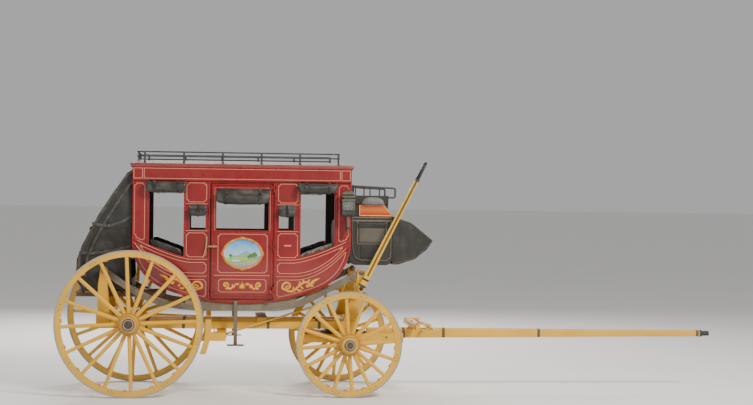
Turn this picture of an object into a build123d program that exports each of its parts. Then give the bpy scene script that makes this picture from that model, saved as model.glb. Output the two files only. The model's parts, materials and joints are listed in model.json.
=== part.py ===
from build123d import *
import os
from math import asin, cos, radians, sin, sqrt

os.makedirs("parts", exist_ok=True)

# A thoroughbrace stagecoach, +X forward, +Y to its left, +Z up, millimetres.
# Stations along X are measured from the middle of the passenger body, and
# write() moves each finished piece so that X = 0 is the middle of the whole
# length, from the rear boot to the pole's tip.

# Wheels and axles
rear_wheel_r = 785
front_wheel_r = 572
rear_axle_trail = 15
front_axle_inset = 15
rim_y = 785
spoke_count = 16
rear_spoke_phase = 2.5
front_spoke_phase = 4.2
tyre_thick = 12
tyre_width = 50
felloe_depth = 60
felloe_width = 46
hub_inner_len = 95
shoulder_gap = 1
hub_outer_len = 100
hub_r = 118
hub_end_r = 88
rear_cap_r = 66
front_cap_r = 56
cap_len = 40
cap_ease = 9
cap_nut_r = 32
cap_nut_h = 13
hub_band_len = 30
hub_band_rise = 8
hub_flange_margin = 4
hub_nose_len = 34
hub_nose_rise = 4
hub_nose_taper = 6
spoke_dish = 28
spoke_root_w = 45
spoke_root_t = 50
spoke_tip_w = 38
spoke_tip_t = 34
spoke_corner_gap = 4
spoke_root_sink = 14
spoke_tip_sink = 6
spindle_r = 32
spindle_end_gap = 6
running_gap = 0.05

# Passenger body
body_half = 1175
belly_z = 990
knee_inset = 345
knee_z = 1150
floor_half = 560
belt_half = 655
roofline_half = 642
turn_under_top_z = 1500
turn_under_bulge = 22
body_top_z = 2465
wall = 30
cornice_bottom_z = 2318
cornice_proud = 12
roof_overhang = 20
roof_edge_thick = 34
roof_crown = 46
roof_corner_r = 40
seat_fit = 0.5

# Doors and windows
door_w = 668
door_bottom_z = 1042
door_top_z = 2290
door_gap = 6
door_free_gap = 11
door_window_w = 560
door_window_sill_z = 1790
door_window_top_z = 2235
small_window_x = 478
small_window_w = 168
small_window_sill_z = 1795
small_window_top_z = 2060
large_window_near_x = 628
large_window_far_x = 995
large_sill_near_z = 1500
large_sill_far_z = 1628
large_window_top_z = 2310
hinge_out = 20
hinge_pin_r = 9
hinge_knuckle = 34
hinge_heights = (1130, 1620, 2252)
door_open_gap = 1
handle_len = 105
handle_r = 8
handle_z = 1614

# Rolled leather curtains
large_roll_r = 54
large_roll_len = 420
large_roll_z = 2258
small_roll_r = 48
small_roll_z = 1990
small_roll_len = 176
door_roll_r = 62
door_roll_z = 2148
door_roll_len = 620
roll_gap = 0.5
roll_shift = 20

# Seats inside
bench_top_z = 1400
bench_depth = 400
bench_board = 25
bench_riser = 22
cushion_thick = 95
cushion_gap = 0.3
cushion_back_h = 420
cushion_back_t = 80
cushion_back_gap = 1
cushion_wall_gap = 8
cushion_edge_gap = 2
cushion_end_gap = 26
cushion_edge_r = 24
middle_bench_depth = 330
middle_bench_end_gap = 21.2
middle_cushion_inset = 5
middle_leg_w = 40

# Roof rail
rail_r = 8
rail_post_r = 10
rail_y = 590
rail_rear_inset = 45
rail_front_inset = 125
rail_low_z = 2578
rail_high_z = 2625
rail_corner_r = 70
rail_posts = 6
rail_end_post_gap = 15

# Front boot and driver's seat
boot_half = 500
boot_wall = 28
boot_len = 470
boot_bottom_z = 1420
boot_top_z = 1956
boot_corner_r = 70
boot_gap = 0.5
footwell_tip_reach = 455
footwell_tip_z = 1690
footwell_top_reach = 208
footwell_top_z = 1887
footwell_low_reach = 252
footwell_low_z = 1486
footwell_lip_back = 66
footwell_lip_drop = 94
leather_t = 14
leather_lift = 8
footboard_t = 26
footboard_lift = 14
footboard_bend_r = 120
seat_rear_gap = 5
seat_depth = 420
seat_top_z = 2092
seat_board_t = 25
board_t = 16
board_inset = 97
board_lead = 5
board_rake = 91
board_drop = 12
seat_back_t = 40
seat_back_h = 205
seat_arm_h = 90
seat_edge_r = 8
driver_cushion_t = 80
cushion_side_gap = 4
cushion_corner_r = 20
seat_rail_r = 10
seat_rail_z = 2285
seat_rail_drop = 20
seat_rail_lead = 74
seat_rail_bend_r = 18
seat_post_w = 7
seat_post_rear = 60
seat_post_front = 110

# Lamps
lamp_inset = 42
lamp_w = 150
lamp_foot_w = 50
lamp_foot_h = 40
lamp_head_w = 122
lamp_head_top_w = 40
lamp_head_h = 25
lamp_bottom_z = 1950
lamp_stem_r = 20
lamp_stem_tip_r = 13
lamp_stem_len = 170
lamp_tiers = (
    # height above the lamp's bottom, thickness, inset
    (40, 12, 0),
    (52, 122, 10),
    (174, 7, 0),
    (181, 76, 32),
    (200, 7, 4),
    (226, 7, 0),
    (250, 7, 6),
)
lamp_stand_off = 22
lamp_bracket_w = 36
lamp_bracket_t = 12
lamp_bracket_rise = 46

# Rear boot
rear_boot_len = 600
rear_boot_bottom_z = 1118
rear_boot_low_half = 478
rear_boot_high_half = 600
rear_boot_top_z = 2430
rear_boot_tuck = 85
rear_boot_waist_z = 1400
rear_boot_wide_z = 1820
rack_beam_w = 46
rack_beam_h = 44
rack_slat_w = 70
rack_slat_t = 20
rack_slats = 6
rack_slat_gap = 20
rack_beam_ys = (-400, -135, 135, 400)

# Thoroughbraces and running gear
brace_y = 538
brace_w = 70
brace_t = 70
brace_low_z = 947
brace_mid_inset = 615
brace_bend_r = 240
brace_end_z = 1340
brace_eye_r = 42
brace_side_gap = 1.5
sill_w = 40
sill_inset = 4
sill_half = 600
sill_lap = 1
rear_standard_trail = 280
front_standard_lead = 140
perch_ys = (-380, 0, 380)
perch_w = 64
perch_bottom_z = 711
perch_top_z = 787
perch_tail = 15
bed_w = 120
bed_half = 640
rear_bed_top_z = 870
rear_bed_bottom_z = 720
front_bed_bottom_z = 505
front_bed_top_z = 640
tail_beam_w = 150
tail_beam_h = 98
transom_w = 150
transom_half = 610
transom_top_z = 810
standard_w = 104
standard_foot = 130
standard_head_r = 40
standard_neck_drop = 150
standard_neck_w = 20
front_standard_foot_lead = 14
standard_slot_z = 1236
axle_collar = 16
shackle_pin_r = 16.5
kingpin_r = 22
kingpin_head = 30
plate_r = 230
plate_band = 50
plate_t = 11.7
plate_gap = 0.3
cross_tie_x = 237
cross_tie_w = 110
cross_tie_h = 46
keeper_w = 44

# Fore-carriage, pole and draught gear
futchell_w = 76
futchell_bottom_z = 548
futchell_top_z = 640
futchell_tail = 480
futchell_rear_y = 255
futchell_axle_y = 205
futchell_lead = 670
futchell_nose_lead = 400
futchell_bend_r = 200
futchell_plate_t = 16
pole_root_w = 100
pole_root_h = 112
pole_tip_w = 64
pole_root_lead = 265
pole_corner_r = 14
pole_reach = 4250
pole_z = 640
pole_gap = 0.3
pole_tip_h = 64
pole_iron_r = 28
pole_iron_len = 110
pole_collar_len = 26
pole_collar_rise = 10
sway_bar_w = 54
sway_bar_r = 470
sway_bar_angle = 36
sway_bar_top_z = 706
evener_lead = 110
evener_half = 520
evener_w = 62
evener_end_w = 42
evener_h = 50
evener_pin_r = 14
evener_pin_head = 20
evener_seat_z = 704
evener_seat_margin = 10
evener_boss_r = 40
seat_gap = 0.3
singletree_y = 450
singletree_reach = 140
singletree_half = 380
singletree_w = 46
singletree_end_r = 15
trace_eye_r = 8
trace_eye_w = 32
trace_eye_t = 14
trace_eye_reach = 34
clip_t = 8
clip_w = 40
clip_pin_r = 9

# Brake
shoe_gap = 26
shoe_w = 90
shoe_len = 370
shoe_mid_z = 655
shoe_t = 60
beam_lead = 109
beam_w = 90
beam_bottom_z = 612
beam_top_z = 700
lever_pivot_trail = 12
lever_pivot_z = 1175
lever_y = -716
lever_w = 70
lever_t = 28
lever_tip_w = 46
lever_rake = 601
lever_top_z = 2365
lever_grip_r = 17
lever_grip_len = 205
lever_swing = 19
brake_shaft_r = 17
brake_boss_wall = 8
brake_arm_y = -470
brake_arm_len = 60
brake_arm_t = 16
brake_pin_r = 9
brake_rod_r = 11
brake_eye_gap = 2.5
brake_eye_t = 20
brake_rod_side_gap = 3
brake_travel = 20
guide_gap = 5.5
guide_t = 8

# Steps
step_x = -60
step_len = 180
step_width = 130
step_t = 8
step_z = 548
step_hanger_w = 40
step_hanger_t = 12
step_hanger_gap = 6
step_top_z = 1028
step_arm_h = 26

# Worked-out stations
rear_axle_x = -(body_half + rear_axle_trail)
front_axle_x = body_half - front_axle_inset
rear_standard_x = rear_axle_x - rear_standard_trail
front_standard_x = front_axle_x + front_standard_lead
knee_x = body_half - knee_inset
brace_mid_x = body_half - brace_mid_inset
boot_front_x = body_half + boot_len
seat_rear_x = body_half + seat_rear_gap
seat_front_x = seat_rear_x + seat_depth
footwell_tip_x = boot_front_x + footwell_tip_reach
footwell_top_x = boot_front_x + footwell_top_reach
footwell_low_x = boot_front_x + footwell_low_reach
lamp_x = body_half - lamp_inset
rear_boot_end_x = -(body_half + rear_boot_len)
rail_rear_x = -(body_half - rail_rear_inset)
rail_front_x = body_half - rail_front_inset
futchell_rear_x = front_axle_x - futchell_tail
futchell_nose_x = front_axle_x + futchell_nose_lead
futchell_front_x = front_axle_x + futchell_lead
pole_root_x = front_axle_x + pole_root_lead
evener_x = futchell_front_x + evener_lead
beam_x = rear_axle_x + rear_wheel_r + shoe_gap + shoe_t + beam_lead
lever_pivot_x = front_standard_x - lever_pivot_trail
lever_top_x = lever_pivot_x + lever_rake
pole_tip_x = front_axle_x + pole_reach
rear_end_x = min(rear_boot_end_x, rear_axle_x - rear_wheel_r)
origin_shift = -(pole_tip_x + rear_end_x) / 2
belly_r = (knee_x**2 + (knee_z - belly_z)**2) / (2 * (knee_z - belly_z))
knee_angle = asin(knee_x / belly_r)
quarter_r = (body_half - knee_x) / (1 - sin(knee_angle))
belt_z = knee_z + quarter_r * cos(knee_angle)
through = 4 * body_half
turn_gap_z = front_bed_top_z + plate_t + plate_gap
transom_bottom_z = turn_gap_z + plate_t


def write(piece, label):
    """Move a piece to the coach's origin, name it and write it."""
    placed = piece.part.moved(Location((origin_shift, 0, 0)))
    placed.label = label
    export_step(placed, f"parts/{label}.step")


def hull_profile(inset):
    """Side view of the body, drawn in by inset, as a face on the XZ plane."""
    half = body_half - inset
    knee = (knee_x - inset * sin(knee_angle), knee_z + inset * cos(knee_angle))
    centre = (body_half - quarter_r, belt_z)
    middle = radians(45) - knee_angle / 2
    radius = quarter_r - inset
    bend = (centre[0] + radius * cos(middle), centre[1] - radius * sin(middle))
    with BuildSketch(Plane.XZ) as face:
        with BuildLine():
            ThreePointArc((-knee[0], knee[1]), (0, belly_z + inset), knee)
            ThreePointArc(knee, bend, (half, belt_z))
            Polyline((half, belt_z), (half, body_top_z), (-half, body_top_z), (-half, belt_z))
            ThreePointArc((-half, belt_z), (-bend[0], bend[1]), (-knee[0], knee[1]))
        make_face()
    return face.sketch


def cross_section(inset):
    """End view of the body, drawn in sideways by inset, as a face on the YZ plane."""
    low = belly_z - 2 * wall
    bulge_y = (floor_half + belt_half) / 2 + turn_under_bulge - inset
    bulge = (bulge_y, (belly_z + turn_under_top_z) / 2)
    with BuildSketch(Plane.YZ) as face:
        with BuildLine():
            Line((0, low), (floor_half - inset, low))
            Line((floor_half - inset, low), (floor_half - inset, belly_z))
            ThreePointArc((floor_half - inset, belly_z), bulge, (belt_half - inset, turn_under_top_z))
            Line((belt_half - inset, turn_under_top_z), (belt_half - inset, belt_z))
            Line((belt_half - inset, belt_z), (roofline_half - inset, body_top_z + 2 * wall))
            Line((roofline_half - inset, body_top_z + 2 * wall), (0, body_top_z + 2 * wall))
            mirror(about=Plane.YZ)
        make_face()
    return face.sketch


def surface_half(z):
    """Half width of the body's outer side at a height above the turn-under."""
    rise = (z - belt_z) / (body_top_z + 2 * wall - belt_z)
    return belt_half if z < belt_z else belt_half + (roofline_half - belt_half) * rise


def rounded_bar(points, radius, section_r):
    """A round rod swept along a polyline with rounded corners."""
    with BuildPart() as bar:
        with BuildLine() as path:
            FilletPolyline(*points, radius=radius)
        with BuildSketch(Plane(path.line @ 0, z_dir=path.line % 0)):
            Circle(section_r)
        sweep()
    return bar.part


# Body shell: one side view extruded across, kept inside the cross-section
with BuildPart() as hull:
    extrude(hull_profile(0), amount=through, both=True)
    extrude(cross_section(0), amount=through, both=True, mode=Mode.INTERSECT)

with BuildPart() as inner_space:
    extrude(hull_profile(wall + seat_fit), amount=through, both=True)
    extrude(cross_section(wall + seat_fit), amount=through, both=True, mode=Mode.INTERSECT)

with BuildPart() as side_walls:
    add(hull.part)
    extrude(cross_section(wall), amount=through, both=True, mode=Mode.SUBTRACT)

# Window and door openings, drawn once for both sides
with BuildSketch(Plane.XZ) as window_openings:
    with BuildLine():
        Polyline(
            (large_window_near_x, large_sill_near_z),
            (large_window_far_x, large_sill_far_z),
            (large_window_far_x, large_window_top_z),
            (large_window_near_x, large_window_top_z),
            close=True,
        )
    make_face()
    with Locations((small_window_x, (small_window_sill_z + small_window_top_z) / 2)):
        Rectangle(small_window_w, small_window_top_z - small_window_sill_z)
    mirror(about=Plane.YZ)

with BuildSketch(Plane.XZ) as doorway:
    with Locations(((door_gap - door_free_gap) / 2, (door_bottom_z + door_top_z) / 2)):
        Rectangle(door_w + door_gap + door_free_gap, door_top_z - door_bottom_z + 2 * door_gap)

with BuildSketch(Plane.XZ) as door_leaf:
    with Locations((0, (door_bottom_z + door_top_z) / 2)):
        Rectangle(door_w, door_top_z - door_bottom_z)
    with Locations((0, (door_window_sill_z + door_window_top_z) / 2)):
        Rectangle(door_window_w, door_window_top_z - door_window_sill_z, mode=Mode.SUBTRACT)

hinge_x = door_w / 2 + door_gap / 2
hinge_y = belt_half + hinge_out

# Sides, each with its cornice board and the fixed halves of the hinges
for side, name in ((-1, "side_right"), (1, "side_left")):
    with BuildPart() as panel:
        add(side_walls.part)
        with Locations((0, side * body_half, body_top_z)):
            Box(through, 2 * body_half, 2 * body_top_z, mode=Mode.INTERSECT)
        extrude(window_openings.sketch, amount=through, both=True, mode=Mode.SUBTRACT)
        extrude(doorway.sketch, amount=through, both=True, mode=Mode.SUBTRACT)
        cornice_mid_z = (cornice_bottom_z + body_top_z) / 2
        with Locations((0, side * (roofline_half + cornice_proud / 2), cornice_mid_z)):
            Box(2 * body_half, cornice_proud + wall / 2, body_top_z - cornice_bottom_z)
        for z in hinge_heights:
            for end in (-1, 1):
                with Locations((hinge_x, side * hinge_y, z + end * (hinge_knuckle + door_open_gap))):
                    Cylinder(hinge_pin_r, hinge_knuckle)
                arm = hinge_out + belt_half - floor_half - wall / 2
                arm_y = side * (hinge_y - arm / 2)
                arm_x = hinge_x + hinge_pin_r
                with Locations((arm_x, arm_y, z + end * (hinge_knuckle + door_open_gap))):
                    Box(2 * hinge_pin_r, arm, hinge_knuckle)
        extrude(cross_section(wall), amount=through, both=True, mode=Mode.SUBTRACT)
    write(panel, name)

# Floor and end walls between the sides
with BuildPart() as trough:
    extrude(hull_profile(0), amount=through, both=True)
    extrude(cross_section(wall), amount=through, both=True, mode=Mode.INTERSECT)
    extrude(hull_profile(wall), amount=through, both=True, mode=Mode.SUBTRACT)

for name, low_x, high_x in (
    ("rear_wall", -2 * body_half, -knee_x),
    ("body_floor", -knee_x, knee_x),
    ("front_wall", knee_x, 2 * body_half),
):
    with BuildPart() as strip:
        add(trough.part)
        with Locations(((low_x + high_x) / 2, 0, body_top_z / 2)):
            Box(high_x - low_x, through, 2 * body_top_z, mode=Mode.INTERSECT)
    write(strip, name)

# Doors, hinged at their front edges on barrels that stand out from the side
with BuildPart() as door_panels:
    add(hull.part)
    extrude(cross_section(wall), amount=through, both=True, mode=Mode.SUBTRACT)
    extrude(door_leaf.sketch, amount=through, both=True, mode=Mode.INTERSECT)

for side, name in ((-1, "door_right"), (1, "door_left")):
    with BuildPart() as door:
        add(door_panels.part)
        with Locations((0, side * body_half, body_top_z)):
            Box(through, 2 * body_half, 2 * body_top_z, mode=Mode.INTERSECT)
        for z in hinge_heights:
            with Locations((hinge_x, side * hinge_y, z)):
                Cylinder(hinge_pin_r, hinge_knuckle - door_open_gap)
            arm = hinge_out + belt_half - floor_half - wall / 2
            arm_x = hinge_x - hinge_pin_r - hinge_out / 2
            with Locations((arm_x, side * (hinge_y - hinge_pin_r / 2), z)):
                Box(hinge_pin_r * 2 + hinge_out, hinge_pin_r, hinge_knuckle - door_open_gap)
            with Locations((door_w / 2 - hinge_pin_r, side * (hinge_y - arm / 2), z)):
                Box(2 * hinge_pin_r, arm, hinge_knuckle - door_open_gap)
        extrude(cross_section(wall), amount=through, both=True, mode=Mode.SUBTRACT)
        post_x = -door_w / 2 + handle_len / 2
        handle_y = side * (belt_half + hinge_out + handle_r)
        with Locations((post_x, side * (belt_half + hinge_out / 2), handle_z)):
            Cylinder(handle_r, hinge_out + handle_r, rotation=(90, 0, 0))
        with Locations((post_x - handle_len / 3, handle_y, handle_z)):
            Cylinder(handle_r, handle_len, rotation=(0, 90, 0))
    write(door, name)

# Rolled leather curtains at the windows' heads, on the body and on each door
body_rolls = (
    # middle station, height of the axis, radius, length
    ((large_window_near_x + large_window_far_x) / 2 + roll_shift, large_roll_z, large_roll_r, large_roll_len),
    (small_window_x, small_roll_z, small_roll_r, small_roll_len),
)
for side, name in ((-1, "curtains_right"), (1, "curtains_left")):
    with BuildPart() as rolls:
        for station, roll_z, radius, length in body_rolls:
            roll_y = side * (surface_half(roll_z) + radius + roll_gap)
            with Locations((station, roll_y, roll_z), (-station, roll_y, roll_z)):
                Cylinder(radius, length, rotation=(0, 90, 0))
    write(rolls, name)

for side, name in ((-1, "curtain_door_right"), (1, "curtain_door_left")):
    roll_y = side * (surface_half(door_roll_z) + door_roll_r + roll_gap)
    with BuildPart() as roll:
        with Locations((0, roll_y, door_roll_z)):
            Cylinder(door_roll_r, door_roll_len, rotation=(0, 90, 0))
    write(roll, name)

# Roof: a board with a crowned top that overhangs the cornice
roof_half = roofline_half + cornice_proud + roof_overhang
roof_low_z = body_top_z
roof_edge_z = roof_low_z + roof_edge_thick
with BuildPart() as roof:
    with BuildSketch(Plane.YZ):
        with BuildLine():
            Line((-roof_half, roof_low_z), (roof_half, roof_low_z))
            Line((roof_half, roof_low_z), (roof_half, roof_edge_z))
            ThreePointArc((roof_half, roof_edge_z), (0, roof_edge_z + roof_crown), (-roof_half, roof_edge_z))
            Line((-roof_half, roof_edge_z), (-roof_half, roof_low_z))
        make_face()
    extrude(amount=body_half + roof_overhang, both=True)
    fillet(roof.edges().filter_by(Axis.Z), radius=roof_corner_r)
write(roof, "roof")

# Roof rail: two rods round the rear and the sides, on posts that stand on the roof
rail_path = [
    (rail_front_x, -rail_y),
    (rail_rear_x, -rail_y),
    (rail_rear_x, rail_y),
    (rail_front_x, rail_y),
]
with BuildPart() as roof_rail:
    for z in (rail_low_z, rail_high_z):
        add(rounded_bar([(x, y, z) for x, y in rail_path], rail_corner_r, rail_r))
    post_low = roof_edge_z
    post_rear_x = rail_rear_x + rail_corner_r + rail_post_r
    post_step = (rail_front_x - rail_end_post_gap - post_rear_x) / (rail_posts - 1)
    for i in range(rail_posts):
        x = post_rear_x + i * post_step
        for side in (-1, 1):
            with Locations((x, side * rail_y, (post_low + rail_high_z) / 2)):
                Cylinder(rail_post_r, rail_high_z - post_low)
    for y in (-rail_y / 3, rail_y / 3):
        with Locations((rail_rear_x, y, (post_low + rail_high_z) / 2)):
            Cylinder(rail_post_r, rail_high_z - post_low)
    add(roof.part, mode=Mode.SUBTRACT)
write(roof_rail, "roof_rail")

# Benches: a board and a riser each, fitted into the inside of the body
cushion_inner_half = belt_half - wall - 2 * seat_fit - cushion_end_gap
bench_low = belly_z + wall
for name, cushion_name, facing in (
    ("bench_rear", "cushion_rear", 1),
    ("bench_front", "cushion_front", -1),
):
    wall_x = -facing * (body_half - wall - seat_fit)
    edge_x = wall_x + facing * bench_depth
    with BuildPart() as bench:
        with Locations(((wall_x + edge_x) / 2, 0, bench_top_z - bench_board / 2)):
            Box(bench_depth, 2 * belt_half, bench_board)
        with Locations((edge_x - facing * bench_riser, 0, (bench_low + bench_top_z - bench_board) / 2)):
            Box(bench_riser, 2 * belt_half, bench_top_z - bench_board - bench_low)
        add(inner_space.part, mode=Mode.INTERSECT)
    write(bench, name)
    seat_z = bench_top_z + cushion_gap
    back_z = seat_z + cushion_thick + cushion_gap
    with BuildPart() as cushion:
        cushion_shift = facing * (cushion_wall_gap - cushion_edge_gap) / 2
        with Locations(((wall_x + edge_x) / 2 + cushion_shift, 0, seat_z + cushion_thick / 2)):
            Box(bench_depth - cushion_wall_gap - cushion_edge_gap, 2 * cushion_inner_half, cushion_thick)
        back_x = wall_x + facing * (cushion_back_t / 2 + cushion_back_gap)
        with Locations((back_x, 0, back_z + cushion_back_h / 2)):
            Box(cushion_back_t, 2 * cushion_inner_half, cushion_back_h)
        add(inner_space.part, mode=Mode.INTERSECT)
        fillet(cushion.edges().filter_by(Axis.Y), radius=cushion_edge_r)
    write(cushion, cushion_name)

# Middle bench on four legs, clear of both doors
with BuildPart() as bench_middle:
    middle_half = floor_half - wall - middle_bench_end_gap
    with Locations((0, 0, bench_top_z - bench_board / 2)):
        Box(middle_bench_depth, 2 * middle_half, bench_board)
    leg_x = middle_bench_depth / 2 - middle_leg_w / 2
    leg_y = middle_half - middle_leg_w
    for x in (-leg_x, leg_x):
        for y in (-leg_y, leg_y):
            with Locations((x, y, (bench_low + bench_top_z - bench_board) / 2)):
                Box(middle_leg_w, middle_leg_w, bench_top_z - bench_board - bench_low)
    add(inner_space.part, mode=Mode.INTERSECT)
write(bench_middle, "bench_middle")

with BuildPart() as cushion_middle:
    with Locations((0, 0, bench_top_z + cushion_gap + cushion_thick / 2)):
        cushion_depth = middle_bench_depth - 2 * middle_cushion_inset
        Box(cushion_depth, 2 * (middle_half - middle_cushion_inset), cushion_thick)
    fillet(cushion_middle.edges().filter_by(Axis.Y), radius=cushion_edge_r)
write(cushion_middle, "cushion_middle")

# Front boot: a box against the body's front, open at its top and front
with BuildSketch(Plane.XZ) as boot_side:
    with BuildLine():
        FilletPolyline(
            (body_half + boot_gap, boot_top_z),
            (body_half + boot_gap, boot_bottom_z),
            (boot_front_x, boot_bottom_z),
            (boot_front_x, boot_top_z),
            radius=boot_corner_r,
            close=False,
        )
        Line((boot_front_x, boot_top_z), (body_half + boot_gap, boot_top_z))
    make_face()

with BuildPart() as front_boot:
    extrude(boot_side.sketch, amount=boot_half, both=True)
    with BuildSketch(Plane.XZ) as boot_room:
        with Locations(((body_half + boot_gap + boot_front_x) / 2, (boot_bottom_z + boot_top_z) / 2)):
            Rectangle(boot_front_x - body_half, boot_top_z - boot_bottom_z - 2 * boot_wall)
        with Locations((boot_front_x, (boot_bottom_z + boot_top_z) / 2 + boot_wall)):
            Rectangle(2 * (boot_front_x - body_half - 2 * boot_wall), boot_top_z - boot_bottom_z)
    extrude(amount=boot_half - boot_wall, both=True, mode=Mode.SUBTRACT)
write(front_boot, "front_boot")

# Footboard: a floor that runs forward and up from the boot, then a toe board
foot_low_z = footwell_low_z + leather_t + footboard_t + footboard_lift
foot_line = [
    (boot_front_x + boot_gap, boot_bottom_z + boot_corner_r + footboard_t),
    (footwell_low_x - footboard_lift, foot_low_z),
    (footwell_tip_x - footwell_lip_back, footwell_tip_z - footwell_lip_drop / 2),
]
with BuildPart() as footboard:
    with BuildSketch(Plane.XZ):
        with BuildLine():
            FilletPolyline(*foot_line, radius=footboard_bend_r)
        trace(line_width=footboard_t)
    extrude(amount=boot_half - leather_t - 2 * boot_gap, both=True)
    with Locations((body_half, 0, boot_top_z)):
        Box(2 * (boot_front_x + boot_gap - body_half), 2 * boot_half, 2 * boot_half, mode=Mode.SUBTRACT)
write(footboard, "footboard")

# Leather round the driver's feet: two cheeks and the skin under the footboard
lip_x = footwell_tip_x - footwell_lip_back
lip_z = footwell_tip_z - footwell_lip_drop
skin_low_z = boot_bottom_z + leather_lift
cheek_points = [
    (boot_front_x + boot_gap, boot_top_z),
    (footwell_top_x, footwell_top_z),
    (footwell_tip_x, footwell_tip_z),
    (lip_x, lip_z),
    (footwell_low_x, footwell_low_z),
    (boot_front_x + boot_corner_r, skin_low_z),
    (boot_front_x + boot_gap, skin_low_z),
]
with BuildPart() as dash_leather:
    with BuildSketch(Plane.XZ):
        with BuildLine():
            Polyline(*cheek_points, close=True)
        make_face()
    extrude(amount=boot_half, both=True)
    with BuildSketch(Plane.XZ):
        with BuildLine():
            Polyline(
                (boot_front_x - boot_gap, boot_top_z + leather_t),
                (footwell_top_x, footwell_top_z + leather_t),
                (footwell_tip_x + leather_t, footwell_tip_z + leather_t / 2),
                (lip_x - leather_t, lip_z + leather_t / 2),
                (footwell_low_x - leather_t / 2, footwell_low_z + leather_t),
                (boot_front_x + boot_corner_r - leather_t / 4, skin_low_z + leather_t),
                (boot_front_x - boot_gap, skin_low_z + leather_t),
                close=True,
            )
        make_face()
    extrude(amount=boot_half - leather_t, both=True, mode=Mode.SUBTRACT)
    add(footboard.part, mode=Mode.SUBTRACT)
write(dash_leather, "dash_leather")

# Driver's seat: a box under a board, its back against the body, low arms
seat_under_z = boot_top_z + boot_gap
with BuildPart() as driver_seat:
    seat_mid_x = (seat_rear_x + seat_front_x) / 2
    with Locations((seat_mid_x, 0, (seat_under_z + seat_top_z) / 2)):
        Box(seat_depth, 2 * (boot_half - board_t), seat_top_z - seat_under_z)
        with Locations((0, 0, -seat_board_t)):
            Box(seat_depth - 2 * seat_board_t, 2 * (boot_half - 2 * seat_board_t), seat_top_z - seat_under_z,
                mode=Mode.SUBTRACT)
    with Locations((seat_rear_x + seat_back_t / 2, 0, seat_top_z + seat_back_h / 2)):
        Box(seat_back_t, 2 * boot_half, seat_back_h)
    for side in (-1, 1):
        with Locations((seat_mid_x, side * (boot_half - seat_board_t / 2), seat_top_z + seat_arm_h / 2)):
            Box(seat_depth, seat_board_t, seat_arm_h)
    fillet(driver_seat.edges().filter_by(Axis.X).group_by(Axis.Z)[-1], radius=seat_edge_r)
write(driver_seat, "driver_seat")

# Bare boards on the sides of the seat box
with BuildPart() as side_boards:
    with BuildSketch(Plane.XZ) as board_face:
        with BuildLine():
            Polyline(
                (seat_rear_x + board_inset, seat_under_z),
                (boot_front_x + board_lead, seat_under_z),
                (boot_front_x + board_lead - board_rake, seat_top_z - board_drop),
                (seat_rear_x + board_inset, seat_top_z - board_drop),
                close=True,
            )
        make_face()
    extrude(amount=boot_half, both=True)
    with Locations((seat_rear_x, 0, seat_top_z)):
        Box(through, 2 * (boot_half - board_t) + 2 * boot_gap, through, mode=Mode.SUBTRACT)
write(side_boards, "side_boards")

with BuildPart() as driver_cushion:
    cushion_len = seat_depth - seat_back_t - 2 * cushion_side_gap
    cushion_half = boot_half - seat_board_t - cushion_side_gap
    with Locations((seat_mid_x + seat_back_t / 2, 0, seat_top_z + cushion_gap + driver_cushion_t / 2)):
        Box(cushion_len, 2 * cushion_half, driver_cushion_t)
    fillet(driver_cushion.edges().filter_by(Axis.Y), radius=cushion_corner_r)
write(driver_cushion, "driver_cushion")

# Rails on the seat's back and arms, looped down at the front
with BuildPart() as seat_rail:
    arm_top = seat_top_z + seat_arm_h
    rail_side = boot_half - seat_board_t / 2
    for side in (-1, 1):
        loop = [
            (seat_rear_x + seat_back_t / 2, side * rail_side, seat_rail_z - 2 * seat_rail_drop),
            (seat_rear_x + seat_back_t, side * rail_side, seat_rail_z),
            (seat_front_x + seat_rail_lead, side * rail_side, seat_rail_z - seat_rail_drop),
            (seat_front_x + seat_rail_lead, side * rail_side, arm_top - seat_rail_drop),
            (seat_front_x - seat_rail_drop, side * rail_side, arm_top - seat_rail_drop),
        ]
        add(rounded_bar(loop, seat_rail_bend_r, seat_rail_r))
        post_top_z = seat_rail_z - seat_rail_drop / 2 - seat_post_w
        for x in (seat_mid_x - seat_post_rear, seat_mid_x + seat_post_front):
            with Locations((x, side * rail_side, (arm_top + post_top_z) / 2)):
                Cylinder(seat_post_w, post_top_z - arm_top)
    add(driver_seat.part, mode=Mode.SUBTRACT)
write(seat_rail, "seat_rail")

# Lamps on brackets at the body's front corners: foot, glazed box, vanes, head and stem
lamp_y = belt_half + cornice_proud + lamp_stand_off + lamp_w / 2
lamp_head_z = lamp_bottom_z + lamp_tiers[-1][0] + lamp_tiers[-1][1]
for side, name in ((-1, "lamp_right"), (1, "lamp_left")):
    with BuildPart() as lamp:
        for low_z, low_w, high_w, height in (
            (lamp_bottom_z, lamp_foot_w, lamp_w, lamp_foot_h),
            (lamp_head_z, lamp_head_w, lamp_head_top_w, lamp_head_h),
        ):
            with BuildSketch(Plane.XY.offset(low_z)):
                with Locations((lamp_x, side * lamp_y)):
                    Rectangle(low_w, low_w)
            with BuildSketch(Plane.XY.offset(low_z + height)):
                with Locations((lamp_x, side * lamp_y)):
                    Rectangle(high_w, high_w)
            loft()
        for rise, thick, tier_inset in lamp_tiers:
            with Locations((lamp_x, side * lamp_y, lamp_bottom_z + rise + thick / 2)):
                Box(lamp_w - 2 * tier_inset, lamp_w - 2 * tier_inset, thick)
        with Locations((lamp_x, side * lamp_y, lamp_bottom_z - lamp_stem_len / 2)):
            Cone(lamp_stem_tip_r, lamp_stem_r, lamp_stem_len)
        for z in (lamp_bottom_z, lamp_bottom_z - lamp_stem_len):
            reach = lamp_y - roofline_half
            with Locations((lamp_x, side * (roofline_half + reach / 2), z + lamp_bracket_rise)):
                Box(lamp_bracket_w, reach, lamp_bracket_t)
        add(hull.part, mode=Mode.SUBTRACT)
    write(lamp, name)

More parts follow.
